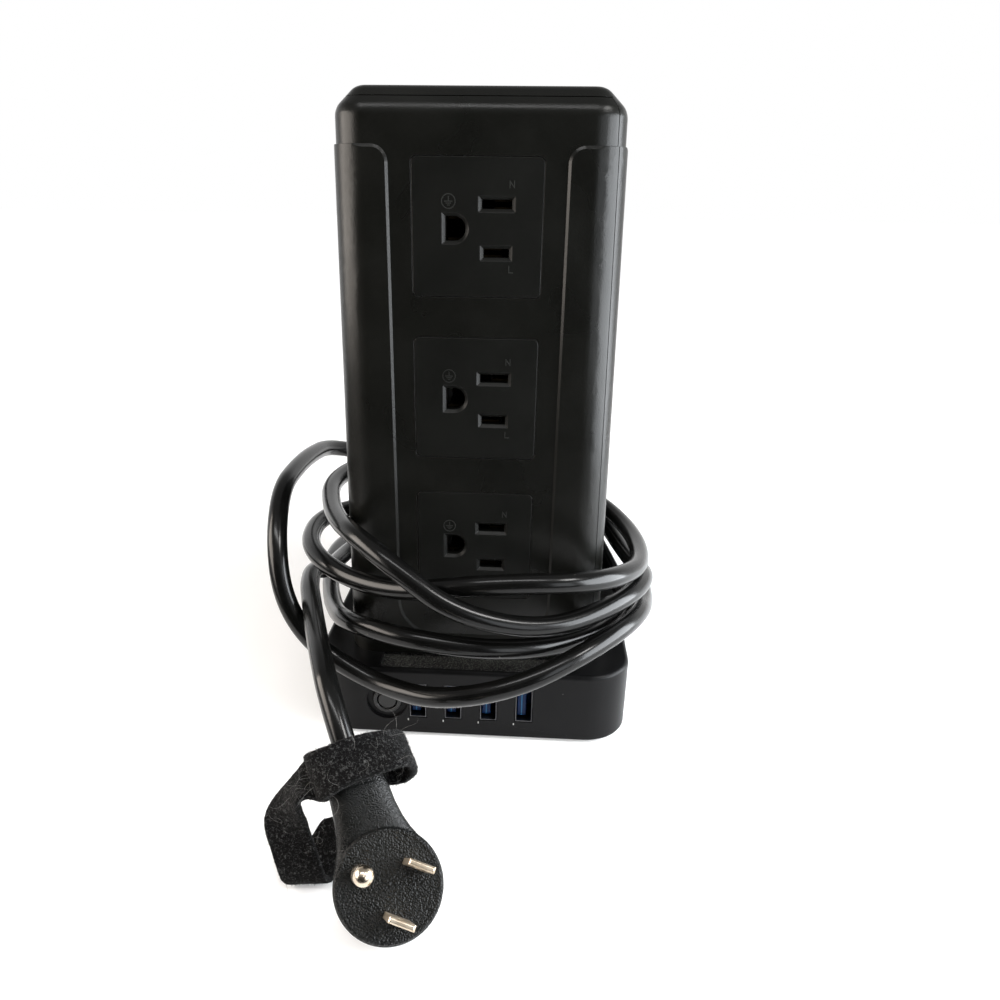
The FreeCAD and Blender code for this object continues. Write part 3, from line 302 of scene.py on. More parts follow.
def mixColour(tree, mask, first, second):
    node = tree.nodes.new("ShaderNodeMix")
    node.data_type = "RGBA"
    tree.links.new(mask, node.inputs["Factor"])
    for socket, value in ((node.inputs["A"], first), (node.inputs["B"], second)):
        if isinstance(value, tuple):
            socket.default_value = (*value, 1)
        else:
            tree.links.new(value, socket)
    return node.outputs["Result"]


def startMaterial(name, **sockets):
    # a material with these values on its shader's sockets, and the object's own coordinates
    material = bpy.data.materials.new(name)
    material.use_nodes = True
    tree = material.node_tree
    shader = tree.nodes["Principled BSDF"]
    for label, value in sockets.items():
        socket = shader.inputs[label.replace("_", " ")]
        socket.default_value = (*value, 1) if isinstance(value, tuple) and len(value) == 3 else value
    place = tree.nodes.new("ShaderNodeTexCoord").outputs["Object"]
    return material, tree, shader, place


def placeGroup(tree, group, place, **values):
    node = tree.nodes.new("ShaderNodeGroup")
    node.node_tree = group
    for label, value in values.items():
        node.inputs[label.replace("_", " ")].default_value = value
    tree.links.new(place, node.inputs["Vector"])
    return node


def addBump(tree, shader, height, distance, strength=1.0, onto=None):
    bump = tree.nodes.new("ShaderNodeBump")
    bump.inputs["Strength"].default_value = strength
    bump.inputs["Distance"].default_value = distance
    tree.links.new(height, bump.inputs["Height"])
    if onto is not None:
        tree.links.new(onto, bump.inputs["Normal"])
    tree.links.new(bump.outputs["Normal"], shader.inputs["Normal"])
    return bump.outputs["Normal"]


def patchy(tree, shader, grain, dust, base, dustTone, smooth, rough):
    # specks of dust on the colour, and a gloss that changes from patch to patch
    tree.links.new(mixColour(tree, dust.outputs["Mask"], base, dustTone), shader.inputs["Base Color"])
    tree.links.new(rangeNode(tree, grain.outputs["Patches"], 0, 1, smooth, rough), shader.inputs["Roughness"])


# facing: how far a face has to look upwards; specks: where the noise turns to dust
lyingDust = {"fade": 0.0001, "scale": 2600.0, "facing": (0.85, 0.95), "specks": (0.5, 0.66)}


def settledMask(tree, place, low, high, amount):
    # dust that lies on the upward faces between two levels
    fade = lyingDust["fade"]
    level = axesOf(tree, place)["Z"]
    facing = axesOf(tree, tree.nodes.new("ShaderNodeTexCoord").outputs["Normal"])["Z"]
    specks = addNode(tree, "ShaderNodeTexNoise", Scale=lyingDust["scale"], Detail=2.0, Roughness=0.7)
    tree.links.new(place, specks.inputs["Vector"])
    within = mathNode(tree, "MULTIPLY", rangeNode(tree, level, low, low + fade),
                      rangeNode(tree, level, high, high + fade, 1.0, 0.0))
    lying = mathNode(tree, "MULTIPLY", within, rangeNode(tree, facing, *lyingDust["facing"]))
    return mathNode(tree, "MULTIPLY", lying,
                    rangeNode(tree, specks.outputs["Fac"], *lyingDust["specks"], 0.0, amount))


plastic = {"coatRoughness": 0.18, "patchScale": 55.0, "dust": {"Scale": 260.0, "Size": 0.05}}


def makePlastic(name, dark, light, roughness, spread, grainScale, grainDepth, specular, dustCover=0.1,
                coat=0.0, settled=None):
    # Moulded plastic: slightly patchy colour and gloss, fine grain, a few specks of dust
    material, tree, shader, place = startMaterial(name, Specular_IOR_Level=specular, Coat_Weight=coat,
                                                  Coat_Roughness=plastic["coatRoughness"])
    grain = placeGroup(tree, grainGroup, place, Grain_Scale=grainScale, Patch_Scale=plastic["patchScale"])
    dust = placeGroup(tree, dustGroup, place, Cover=dustCover, **plastic["dust"])
    base = mixColour(tree, grain.outputs["Patches"], dark, light)
    if settled:
        base = mixColour(tree, settledMask(tree, place, *settled), base, dustTones["settled"])
    patchy(tree, shader, grain, dust, base, dustTones["plastic"], roughness - spread, roughness + spread)
    addBump(tree, shader, grain.outputs["Height"], grainDepth)
    return material


# darker and lighter tone, roughness and its spread, scale and depth of the grain, specular level, cover of
# dust, coat, and the two levels between which dust has settled and how much of it
finishes = {
    "tower": ((0.0034, 0.0035, 0.0029), (0.0050, 0.0051, 0.0043), 0.30, 0.05, 1900.0, 0.00004, 0.2, 0.12),
    "outlet": ((0.0032, 0.0034, 0.0029), (0.0042, 0.0044, 0.0037), 0.4, 0.04, 4200.0, 0.00002, 0.17),
    "base": ((0.0036, 0.0036, 0.0038), (0.0052, 0.0052, 0.0055), 0.36, 0.06, 2600.0, 0.00002, 0.12, 0.12,
             0.0, (0.0250, 0.0256, 0.6)),
    "button": ((0.006, 0.006, 0.006), (0.008, 0.008, 0.008), 0.32, 0.05, 3000.0, 0.00002, 0.35),
    "rocker": ((0.006, 0.006, 0.006), (0.008, 0.008, 0.008), 0.16, 0.04, 1500.0, 0.000008, 0.5, 0.1, 0.4),
    "foot": ((0.02, 0.02, 0.02), (0.03, 0.03, 0.03), 0.72, 0.06, 1800.0, 0.00006, 0.3),
    "column": ((0.22, 0.22, 0.21), (0.28, 0.28, 0.27), 0.5, 0.05, 2600.0, 0.00003, 0.45),
    "board": ((0.012, 0.09, 0.035), (0.018, 0.13, 0.05), 0.35, 0.05, 900.0, 0.00003, 0.5),
    "component": ((0.02, 0.05, 0.22), (0.03, 0.07, 0.30), 0.4, 0.05, 1500.0, 0.00003, 0.5),
    "mark": ((0.010, 0.0105, 0.0095), (0.022, 0.023, 0.021), 0.4, 0.05, 4200.0, 0.00001, 0.4),
    "whiteMark": ((0.30, 0.30, 0.29), (0.36, 0.36, 0.35), 0.5, 0.05, 4200.0, 0.00001, 0.4),
}
materials = {name: makePlastic(name + "Plastic", *values) for name, values in finishes.items()}

# clouding: how much it adds to the roughness; lines: where the noise turns to a scratch
metal = {
    "patchScale": 260.0, "stretch": (3000.0, 260.0, 260.0), "clouding": 0.08, "lines": (0.5, 0.8),
    "depth": 0.000001,
}


def makeMetal(name, dark, light, roughness, scratch):
    # Plated metal with slight clouding and fine scratches
    material, tree, shader, place = startMaterial(name, Metallic=1.0)
    grain = placeGroup(tree, grainGroup, place, Patch_Scale=metal["patchScale"])
    stretch = addNode(tree, "ShaderNodeMapping", Scale=metal["stretch"])
    lines = addNode(tree, "ShaderNodeTexNoise", Scale=1.0, Detail=3.0)
    tree.links.new(place, stretch.inputs["Vector"])
    tree.links.new(stretch.outputs["Vector"], lines.inputs["Vector"])
    tree.links.new(mixColour(tree, grain.outputs["Patches"], dark, light), shader.inputs["Base Color"])
    cloud = rangeNode(tree, grain.outputs["Patches"], 0, 1, roughness, roughness + metal["clouding"])
    scratches = rangeNode(tree, lines.outputs["Fac"], *metal["lines"], 0.0, scratch)
    tree.links.new(mathNode(tree, "ADD", cloud, scratches), shader.inputs["Roughness"])
    addBump(tree, shader, lines.outputs["Fac"], metal["depth"])
    return material


# darker and lighter tone, roughness, and how much the scratches add to it
metals = {
    "nickel": ("wornNickel", (0.56, 0.46, 0.34), (0.74, 0.65, 0.54), 0.2, 0.05),
    "blade": ("bladeNickel", (0.50, 0.41, 0.30), (0.68, 0.59, 0.48), 0.34, 0.08),
    "portSteel": ("portSteel", (0.07, 0.07, 0.074), (0.12, 0.12, 0.124), 0.3, 0.1),
    # the contacts' brass is painted nearly black, as painted shade inside the slots
    "shadedBrass": ("shadedContactBrass", (0.025, 0.018, 0.009), (0.045, 0.033, 0.016), 0.45, 0.15),
    "zinc": ("screwZinc", (0.50, 0.50, 0.50), (0.62, 0.62, 0.60), 0.32, 0.2),
}
materials.update({name: makeMetal(*values) for name, values in metals.items()})

vinyl = {
    "dark": (0.002, 0.002, 0.0019), "light": (0.0035, 0.0035, 0.0033), "roughness": (0.19, 0.25),
    "specular": 0.2, "coat": 0.16, "coatRoughness": 0.12,
    "grainScale": 900.0, "patchScale": 90.0, "grainDepth": 0.000012,
    "dust": {"Scale": 320.0, "Size": 0.06, "Cover": 0.25},
}


def makeJacket():
    # The lead's vinyl jacket: glossy black, faintly drawn along and scuffed
    material, tree, shader, place = startMaterial(
        "leadJacket", Specular_IOR_Level=vinyl["specular"], Coat_Weight=vinyl["coat"],
        Coat_Roughness=vinyl["coatRoughness"])
    grain = placeGroup(tree, grainGroup, place, Grain_Scale=vinyl["grainScale"],
                       Patch_Scale=vinyl["patchScale"])
    dust = placeGroup(tree, dustGroup, place, **vinyl["dust"])
    base = mixColour(tree, grain.outputs["Patches"], vinyl["dark"], vinyl["light"])
    patchy(tree, shader, grain, dust, base, dustTones["rubber"], *vinyl["roughness"])
    addBump(tree, shader, grain.outputs["Height"], vinyl["grainDepth"])
    return material


# spread: the least and greatest change of roughness; under: the grain's scale and share of the depth
leather = {
    "dark": (0.0022, 0.0024, 0.0022), "light": (0.0044, 0.0047, 0.0043), "specular": 0.21,
    "spread": (-0.05, 0.07), "patchScale": 80.0, "under": (1.7, 0.25),
    "dust": {"Scale": 400.0, "Size": 0.06, "Cover": 0.2},
    # scale of the pebbles, their depth and the roughness
    "discGrain": (2200.0, 0.0004, 0.33),
    "neckGrain": (2900.0, 0.00018, 0.26),
}


def makeLeather(name):
    # The plug's moulded grain: shallow pebbles with creases between them
    scale, depth, roughness = leather[name]
    finer, shallower = leather["under"]
    material, tree, shader, place = startMaterial(name, Specular_IOR_Level=leather["specular"])
    grain = placeGroup(tree, grainGroup, place, Grain_Scale=scale * finer,
                       Patch_Scale=leather["patchScale"])
    pebbles = addNode(tree, "ShaderNodeTexVoronoi", feature="SMOOTH_F1", Scale=scale, Randomness=1.0)
    tree.links.new(place, pebbles.inputs["Vector"])
    dust = placeGroup(tree, dustGroup, place, **leather["dust"])
    base = mixColour(tree, grain.outputs["Patches"], leather["dark"], leather["light"])
    patchy(tree, shader, grain, dust, base, dustTones["rubber"],
           *(roughness + change for change in leather["spread"]))
    first = addBump(tree, shader, grain.outputs["Height"], depth * shallower)
    addBump(tree, shader, mathNode(tree, "MULTIPLY", pebbles.outputs["Distance"], -1.0), depth, 1.0, first)
    return material


cloth = {
    "roughness": 0.85, "specular": 0.1, "sheen": 0.04, "sheenRoughness": 0.5,
    "loopScale": 1500.0, "loopDepth": 0.00035, "patchScale": 420.0, "thin": 0.35,
    # name, pit tone (painted shade), loop tone (painted sheen, lint on loose hairs), and where the noise
    # turns from one to the other
    "strap": ("strapCloth", (0.0008, 0.0008, 0.0009), (0.085, 0.085, 0.084), 0.53, 0.68),
    "fibre": ("strapFibre", (0.001, 0.001, 0.0011), (0.24, 0.24, 0.235), 0.56, 0.70),
    "stray": ("strayFibre", (0.06, 0.06, 0.06), (0.35, 0.34, 0.32), 0.3, 0.6),
}


def makeStrapCloth(name, dark, light, low, high):
    # Black hook-and-loop tape: pits painted dark as shade between loops painted pale as sheen; on loose hairs
    # the pale tone is lint
    material, tree, shader, place = startMaterial(
        name, Roughness=cloth["roughness"], Specular_IOR_Level=cloth["specular"],
        Sheen_Weight=cloth["sheen"], Sheen_Roughness=cloth["sheenRoughness"])
    loops = addNode(tree, "ShaderNodeTexNoise", Scale=cloth["loopScale"], Detail=2.0, Roughness=0.8,
                    Distortion=0.8)
    tree.links.new(place, loops.inputs["Vector"])
    grain = placeGroup(tree, grainGroup, place, Patch_Scale=cloth["patchScale"])
    # the pale tone is painted sheen on the loops and the pile and lint on the loose hairs; the dark tone is
    # painted shade in the pits
    lintAndSheen = rangeNode(tree, loops.outputs["Fac"], low, high)
    patch = rangeNode(tree, grain.outputs["Patches"], 0, 1, cloth["thin"], 1.0)
    tree.links.new(mixColour(tree, mathNode(tree, "MULTIPLY", lintAndSheen, patch), dark, light),
                   shader.inputs["Base Color"])
    addBump(tree, shader, loops.outputs["Fac"], cloth["loopDepth"])
    return material


lens = {"tone": (0.55, 0.12, 0.03), "roughness": 0.18, "clear": 0.6, "index": 1.49, "grainDepth": 0.00004}


def makeLens():
    # the lamp's orange lens, clear enough to show the lamp behind it
    material, tree, shader, place = startMaterial(
        "lampLens", Base_Color=lens["tone"], Roughness=lens["roughness"], Transmission_Weight=lens["clear"],
        IOR=lens["index"])
    grain = placeGroup(tree, grainGroup, place, Grain_Scale=900.0)
    addBump(tree, shader, grain.outputs["Height"], lens["grainDepth"])
    return material


materials["jacket"] = makeJacket()
for name in ("discGrain", "neckGrain"):
    materials[name] = makeLeather(name)
for name in ("strap", "fibre", "stray"):
    materials[name] = makeStrapCloth(*cloth[name])
materials["lens"] = makeLens()
mainsLead.data.materials.append(materials["jacket"])
print("materials made")


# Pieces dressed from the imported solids: lengths in metres, angles in degrees
cleaning = {"merge": 0.00001, "flat": 0.6, "sharp": 32.0}


def finishMesh(mesh, sharp=cleaning["sharp"]):
    mesh.shade_smooth()
    mesh.set_sharp_from_angle(angle=math.radians(sharp))


def addPiece(name, mesh, material, body="tower", replaced=()):
    piece = addObject(name, mesh)
    if material is not None:
        mesh.materials.clear()
        mesh.materials.append(material)
    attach(piece, body)
    if replaced:
        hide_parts(*replaced)
    return piece


def addBevel(piece, width, segments, angle=cleaning["sharp"]):
    # a soft edge, and normals that keep the flat faces flat
    bevel = piece.modifiers.new("softEdges", "BEVEL")
    bevel.width = width
    bevel.segments = segments
    bevel.limit_method = "ANGLE"
    bevel.angle_limit = math.radians(angle)
    bevel.miter_outer = "MITER_ARC"
    normals = piece.modifiers.new("flatFaces", "WEIGHTED_NORMAL")
    normals.mode = "FACE_AREA"
    normals.weight = 100
    normals.keep_sharp = True


def dress(node, material, width, segments=2, body="tower"):
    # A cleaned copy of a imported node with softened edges, in its place
    mesh = nodes[node].data.copy()
    shape = bmesh.new()
    shape.from_mesh(mesh)
    bmesh.ops.remove_doubles(shape, verts=shape.verts, dist=cleaning["merge"])
    bmesh.ops.dissolve_limit(shape, angle_limit=math.radians(cleaning["flat"]), verts=shape.verts,
                             edges=shape.edges)
    shape.to_mesh(mesh)
    shape.free()
    finishMesh(mesh)
    piece = addPiece(node + "_dressed", mesh, material, body, [node])
    if width:
        addBevel(piece, width, segments)


def paint(node, material):
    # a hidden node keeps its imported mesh
    mesh = nodes[node].data
    mesh.materials.clear()
    mesh.materials.append(material)


# node, finish, slot, width of the soft edge in metres and its segments
dressed = [
    ("front_left_shell", "tower", "tower_plastic", 0.0003, 2),
    ("rear_right_shell", "tower", "tower_plastic", 0.0003, 2),
    ("base_housing", "base", "base_plastic", 0.0003, 2),
    ("base_bottom_plate", "base", "base_plastic", 0.0003, 2),
    ("rubber_feet", "foot", "foot_rubber", 0.0003, 2),
    ("base_screws", "zinc", "screw_steel", 0.00015, 2),
    ("breaker_body", "button", "breaker_plastic", 0.0002, 2),
    ("rocker_frame", "button", "frame_plastic", 0.0003, 2),
    ("strain_relief", "jacket", "cord_jacket", 0.0003, 2),
    ("indicator_lens", "lens", "lens_clear", 0.0003, 3),
    ("plug_blades", "blade", "plug_metal", 0.0001, 2),
]
for node, finish, slotName, width, segments in dressed:
    dress(node, materials[finish], width, segments)
for side in sides:
    for row in rows:
        dress("outlet_%s_%s" % (side, row), materials["outlet"], 0.00015, 2)
dress("breaker_button", materials["button"], 0.0002, 2, "reset_button")
dress("power_rocker", materials["rocker"], 0.0004, 3, "rocker")
dress("plug_ground_pin", materials["nickel"], 0)
for number in range(1, 5):
    dress("usb_shell_%d" % number, materials["portSteel"], 0.00012, 2)
# the contact strips in the slots get the brass painted dark as shade
for side in sides:
    for strip in ("neutral", "live", "ground"):
        paint("%s_strip_%s" % (strip, side), materials["shadedBrass"])
hidden = {
    "contact_column": "column", "usb_board": "board", "surge_board": "board", "usb_converter": "component",
    "varistors": "component", "thermal_fuse": "whiteMark", "indicator_lamp": "whiteMark",
    "shell_screws": "zinc",
}
for node, finish in hidden.items():
    paint(node, materials[finish])
print("packed pieces dressed")

# Plug body: a disc with a flared neck, in the plug's own millimetres
plugShape = {
    # radius and height of the disc's turned outline
    "disc": [(0.0, -0.25), (11.9, -0.25), (12.5, 0.0), (13.1, -0.12), (13.6, -0.75), (13.6, -3.9),
             (13.25, -4.6), (13.25, -8.2), (12.6, -9.2), (11.6, -9.6), (0.0, -9.6)],
    # place along the neck, half width, lowest and highest, squareness
    "neck": [(-2.0, 12.2, -9.0, -1.5, 3.6), (4.0, 12.6, -9.0, -1.5, 3.6), (7.5, 11.5, -9.0, -1.4, 3.4),
             (11.0, 9.9, -9.1, -1.2, 3.2), (14.5, 8.8, -9.1, -0.8, 3.0), (18.5, 8.1, -9.2, -0.3, 2.8),
             (23.0, 7.8, -9.3, 0.0, 2.7), (28.0, 7.5, -9.3, 0.0, 2.6), (33.0, 6.6, -9.2, -0.3, 2.5),
             (36.2, 5.0, -9.2, -0.5, 2.2), (37.0, 4.5, -9.2, -0.5, 2.0)],
    "sectionPoints": 56,
    "discSteps": 96,
    "merge": 0.0005, "sharp": 28.0, "softEdge": 0.00028,
}


def bakedMesh(piece):
    # the mesh as its modifiers leave it, in place of the first one
    held = bpy.context.evaluated_depsgraph_get()
    mesh = bpy.data.meshes.new_from_object(piece.evaluated_get(held))
    old = piece.data
    piece.modifiers.clear()
    piece.data = mesh
    bpy.data.meshes.remove(old)
    return mesh


def makeDiscShape():
    shape = bmesh.new()
    verts = [shape.verts.new((radius, 0, height)) for radius, height in plugShape["disc"]]
    edges = [shape.edges.new(pair) for pair in zip(verts, verts[1:])]
    bmesh.ops.spin(shape, geom=verts + edges, cent=(0, 0, 0), axis=(0, 0, 1), angle=math.tau,
                   steps=plugShape["discSteps"], use_merge=True)
    bmesh.ops.remove_doubles(shape, verts=shape.verts, dist=plugShape["merge"])
    bmesh.ops.recalc_face_normals(shape, faces=shape.faces)
    return shape


def makeNeckShape():
    # rounded sections, bridged from the disc's middle to the lead
    shape = bmesh.new()
    loops = []
    for along, half, low, high, squareness in plugShape["neck"]:
        ring = bmesh.ops.create_circle(shape, cap_ends=False, segments=plugShape["sectionPoints"], radius=1.0)
        for vert in ring["verts"]:
            turn = math.atan2(vert.co.y, vert.co.x)
            across, upward = (math.copysign(abs(share) ** (2 / squareness), share)
                              for share in (math.cos(turn), math.sin(turn)))
            across *= half
            upward = upward * (high - low) / 2 + (high + low) / 2
            vert.co = (along * neckHeading.x + across * neckHeading.y,
                       along * neckHeading.y - across * neckHeading.x, upward)
        loops.append(ring["verts"])
    edges = list(shape.edges)
    for first, second in zip(loops, loops[1:]):
        known = set(first) | set(second)
        pair = [edge for edge in edges if edge.verts[0] in known and edge.verts[1] in known]
        bmesh.ops.bridge_loops(shape, edges=pair)
    for loop in (loops[0], loops[-1]):
        shape.faces.new(loop)
    bmesh.ops.recalc_face_normals(shape, faces=shape.faces)
    return shape


def meshOf(name, shape):
    mesh = bpy.data.meshes.new(name)
    shape.to_mesh(mesh)
    shape.free()
    return mesh


def makePlugBody():
    body = addPiece("plugBody", meshOf("plugBody", makeDiscShape()), materials["discGrain"], "tower",
                    ["plug_body"])
    neck = addObject("plugNeck", meshOf("plugNeck", makeNeckShape()))
    neck.data.materials.append(materials["neckGrain"])
    joined = body.modifiers.new("joined", "BOOLEAN")
    joined.operation = "UNION"
    joined.solver = "EXACT"
    joined.material_mode = "TRANSFER"
    joined.object = neck
    mesh = bakedMesh(body)
    bpy.data.objects.remove(neck)
    mesh.transform(plugPlace)
    finishMesh(mesh, plugShape["sharp"])
    addBevel(body, plugShape["softEdge"], 2, plugShape["sharp"])


makePlugBody()
print("plug made")

# Strap: a tape that goes round the neck, folds at its right end and curls down to the left
strap = {
    "width": 12.0, "thickness": 1.9, "start": 26.3,
    # across the neck, above its middle plane and along the neck, and how far the width leans out
    "loop": [(-2.0, -6.3, -0.5, 0.00), (4.0, -6.9, -2.0, 0.00), (10.0, -7.4, -4.0, 0.00),
             (13.6, -6.0, -4.6, -0.20), (15.6, -1.6, -3.6, -0.40), (14.2, 3.4, -2.2, -0.60),
             (10.6, 6.3, -1.6, -0.60), (5.5, 6.7, -1.2, -0.35), (-1.5, 6.7, -0.8, -0.30),
             (-7.2, 5.6, -1.8, -0.10), (-9.9, 2.2, -1.8, 0.00), (-9.9, -2.4, -0.6, 0.00),
             (-6.6, -5.7, 0.0, 0.00), (-1.0, -6.3, 0.0, 0.00)],
    # places and width directions of the free end
    "tail": [((-34.9, -113.0, 29.9), (0.42, -0.34, -0.84)), ((-37.9, -115.0, 31.1), (0.47, -0.88, -0.03)),
             ((-40.6, -117.0, 29.9), (0.46, -0.84, 0.28)), ((-43.5, -118.0, 25.7), (0.74, -0.55, 0.37)),
             ((-43.7, -118.5, 18.9), (1.00, 0.03, -0.05)), ((-42.0, -119.5, 12.8), (1.00, 0.07, 0.03)),
             ((-40.5, -121.0, 8.6), (1.00, 0.07, 0.04)), ((-39.2, -121.5, 2.9), (1.00, 0.07, 0.04)),
             ((-37.3, -119.0, 1.2), (1.00, 0.08, 0.06)), ((-35.9, -114.5, 3.8), (0.99, 0.09, 0.08)),
             ((-34.6, -109.0, 7.6), (0.98, 0.12, 0.16)), ((-31.7, -105.5, 12.0), (0.95, 0.16, 0.25))],
    "rowsAlong": 5, "rowsAcross": 12, "rough": 0.1, "bandShare": 0.6, "seed": 41,
    # how fine the cloth's unevenness is, and how much its slow part counts
    "fineScale": 1700.0, "slowScale": 300.0, "slowShare": 0.8,
    # where the cloth and its hairs lie on the floor, and how far the cloth still sinks there, in metres
    "lowest": 0.0006, "sink": 0.04, "hairLowest": 0.0002,
    # short fibres of the pile, and loose hairs
    "pile": {"count": 11000, "lengths": (0.3, 0.8), "radius": 0.05, "outward": 1.0, "steps": 2, "bend": 1.5},
    "strays": {"count": 80, "lengths": (3.0, 8.0), "radius": 0.04, "outward": 0.5, "steps": 10, "bend": 6.5},
    # how much a hair's direction is scattered, its sideways sweep, how it thins and how far it leans over
    "scatter": 0.9, "sweep": 0.4, "thinning": 0.6, "lean": 1.4, "root": 0.0001,
    "corners": (0.0, 2.094, 4.189),
}


def smoothPath(name, points, steps):
    # points along a spline
    holder = makeSpline(name, points, steps)
    mesh = bpy.data.meshes.new_from_object(holder.evaluated_get(bpy.context.evaluated_depsgraph_get()))
    path = [vert.co.copy() for vert in mesh.vertices]
    bpy.data.objects.remove(holder)
    bpy.data.meshes.remove(mesh)
    return path


def makeTape(name, points, widths):
    # a strip of cloth along a path, with a width direction at each of its points
    path = smoothPath(name + "Path", points, strap["rowsAlong"])
    across = smoothPath(name + "Width", widths, strap["rowsAlong"])
    shape = bmesh.new()
    count = len(path)
    bmesh.ops.create_grid(shape, x_segments=count - 1, y_segments=strap["rowsAcross"], size=0.5)
    for vert in shape.verts:
        number = min(count - 1, int(round((vert.co.x + 0.5) * (count - 1))))
        vert.co = path[number] + across[number].normalized() * (vert.co.y * strap["width"])
    bmesh.ops.scale(shape, verts=shape.verts, vec=(0.001, 0.001, 0.001))
    piece = addPiece(name, meshOf(name, shape), None, "tower")
    thick = piece.modifiers.new("thickness", "SOLIDIFY")
    thick.thickness = strap["thickness"] * 0.001
    thick.offset = 0
    soft = piece.modifiers.new("soft", "SUBSURF")
    soft.levels = soft.render_levels = 2
    mesh = bakedMesh(piece)
    mesh.materials.clear()
    mesh.materials.append(materials["strap"])
    rough = strap["rough"] * 0.001
    lowest = strap["lowest"]
    normals = [vert.normal.copy() for vert in mesh.vertices]
    for vert, normal in zip(mesh.vertices, normals):
        slow = noise.noise(vert.co * strap["slowScale"]) * strap["slowShare"]
        vert.co += normal * rough * (noise.noise(vert.co * strap["fineScale"]) + slow)
        # the cloth lies flat where it would reach under the floor
        vert.co.z = max(vert.co.z, lowest + (vert.co.z - lowest) * strap["sink"])
    mesh.shade_smooth()
    return piece


def addFibre(shape, root, way, length, radius, curl, steps):
    # one bent hair as a three-sided tube
    side = way.orthogonal().normalized()
    other = way.cross(side)
    corners = [side * math.cos(corner) + other * math.sin(corner) for corner in strap["corners"]]
    last = None
    for step in range(steps + 1):
        share = step / steps
        turn = share * curl.z
        sweep = side * math.sin(turn) * curl.x + other * (1 - math.cos(turn)) * curl.y
        centre = root + way * (length * math.sin(share * strap["lean"])) + sweep * length
        centre.z = max(centre.z, strap["hairLowest"])
        size = radius * (1 - strap["thinning"] * share)
        ring = [shape.verts.new(centre + corner * size) for corner in corners]
        if last:
            for number in range(3):
                following = (number + 1) % 3
                shape.faces.new((last[number], last[following], ring[following], ring[number]))
        last = ring
    shape.faces.new(last)


def makeFibres(name, piece, share, material, count, lengths, radius, outward, steps, bend):
    # hairs that stand on a piece's faces, drawn by area
    count = int(count * share)
    draw = random.Random(strap["seed"] + count)
    sweep = strap["sweep"]
    mesh = piece.data
    places = [(polygon.center.copy(), polygon.normal.copy(), polygon.area) for polygon in mesh.polygons]
    chosen = draw.choices(places, weights=[place[2] for place in places], k=count)
    shape = bmesh.new()
    for centre, normal, area in chosen:
        spin = Vector((draw.uniform(-1, 1), draw.uniform(-1, 1), draw.uniform(-1, 1)))
        way = (normal * outward + spin * strap["scatter"]).normalized()
        curl = Vector((draw.uniform(-sweep, sweep), draw.uniform(-sweep, sweep),
                       draw.uniform(0.5, 1.0) * bend))
        length = draw.uniform(*lengths) * 0.001
        addFibre(shape, centre - normal * strap["root"], way, length, radius * 0.001, curl, steps)
    fibres = addPiece(name, meshOf(name, shape), material, "tower")
    fibres.data.shade_smooth()


def makeStrap():
    outward = (plugPlace.to_3x3() @ Vector((0, 0, 1))).normalized()
    sideways = neckAway.cross(outward).normalized()
    middle = neckTip * 1000 + neckAway * (strap["start"] + strap["width"] / 2 - plug["neckLength"])
    loop = [middle + sideways * side + outward * height + neckAway * along
            for side, height, along, lean in strap["loop"]]
    band = makeTape("strapBand", loop, [neckAway + outward * place[3] for place in strap["loop"]])
    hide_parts("cord_strap")
    tail = makeTape("strapTail", [Vector(place) for place, way in strap["tail"]],
                    [Vector(way) for place, way in strap["tail"]])
    for piece, share in ((band, strap["bandShare"]), (tail, 1 - strap["bandShare"])):
        makeFibres(piece.name + "Pile", piece, share, materials["fibre"], **strap["pile"])
        makeFibres(piece.name + "Strays", piece, share, materials["stray"], **strap["strays"])


makeStrap()
print("strap made")

# Charging ports: blue tongues, darkened as painted shade inside the port and with a painted highlight down
# the middle, and a small pale tick below each
port = {
    "pitch": 12.0, "front": 53.5, "middle": 14.25, "height": 11.0, "depth": 12.8, "start": 2.2,
    "tongue": (-2.25, 0.75), "block": (2.5, 6.2, 3.0), "highlightAt": -0.75, "highlightHalf": 0.28,
    "tick": (-3.35, 6.6), "tickSize": (0.38, 0.16, 0.75), "sunk": 0.05, "softEdge": 0.0003,
    # shaded blue: the tongue's blue painted dark as shade inside the port; highlight blue, at and half: the
    # painted highlight down each tongue's middle
    "shadedBlue": ((0.001, 0.010, 0.045), (0.0015, 0.016, 0.065)), "highlightBlue": (0.035, 0.16, 0.32),
    "roughness": 0.3, "specular": 0.15, "patchScale": 300.0, "grainDepth": 0.00001,
}


def portPlaces():
    return [port["pitch"] * (number - 1.5) for number in range(4)]


def makeTongueFinish():
    # Blue plastic painted dark as shade inside the port, with a painted highlight along the middle of each
    # tongue
    material, tree, shader, place = startMaterial("tongueBlue", Roughness=port["roughness"],
                                                  Specular_IOR_Level=port["specular"])
    pitch = port["pitch"] / 1000
    across = mathNode(tree, "SUBTRACT", axesOf(tree, place)["X"], pitch / 2 + port["highlightAt"] / 1000)
    cell = mathNode(tree, "PINGPONG", across, pitch / 2)
    # a painted highlight: paler blue along the middle of each tongue
    paintedHighlight = rangeNode(tree, cell, 0.0, port["highlightHalf"] / 1000, 1.0, 0.0)
    grain = placeGroup(tree, grainGroup, place, Patch_Scale=port["patchScale"])
    # the tongue's blue, painted dark as shade inside the port
    deep = mixColour(tree, grain.outputs["Patches"], *port["shadedBlue"])
    tree.links.new(mixColour(tree, paintedHighlight, deep, port["highlightBlue"]), shader.inputs["Base Color"])
    addBump(tree, shader, grain.outputs["Height"], port["grainDepth"])
    return material


def addBox(shape, low, high):
    # a box between two corners, in millimetres
    corners = bmesh.ops.create_cube(shape, size=1.0)["verts"]
    size = Vector(high) - Vector(low)
    bmesh.ops.scale(shape, verts=corners, vec=size * 0.001)
    bmesh.ops.translate(shape, verts=corners, vec=(Vector(high) + Vector(low)) * 0.0005)


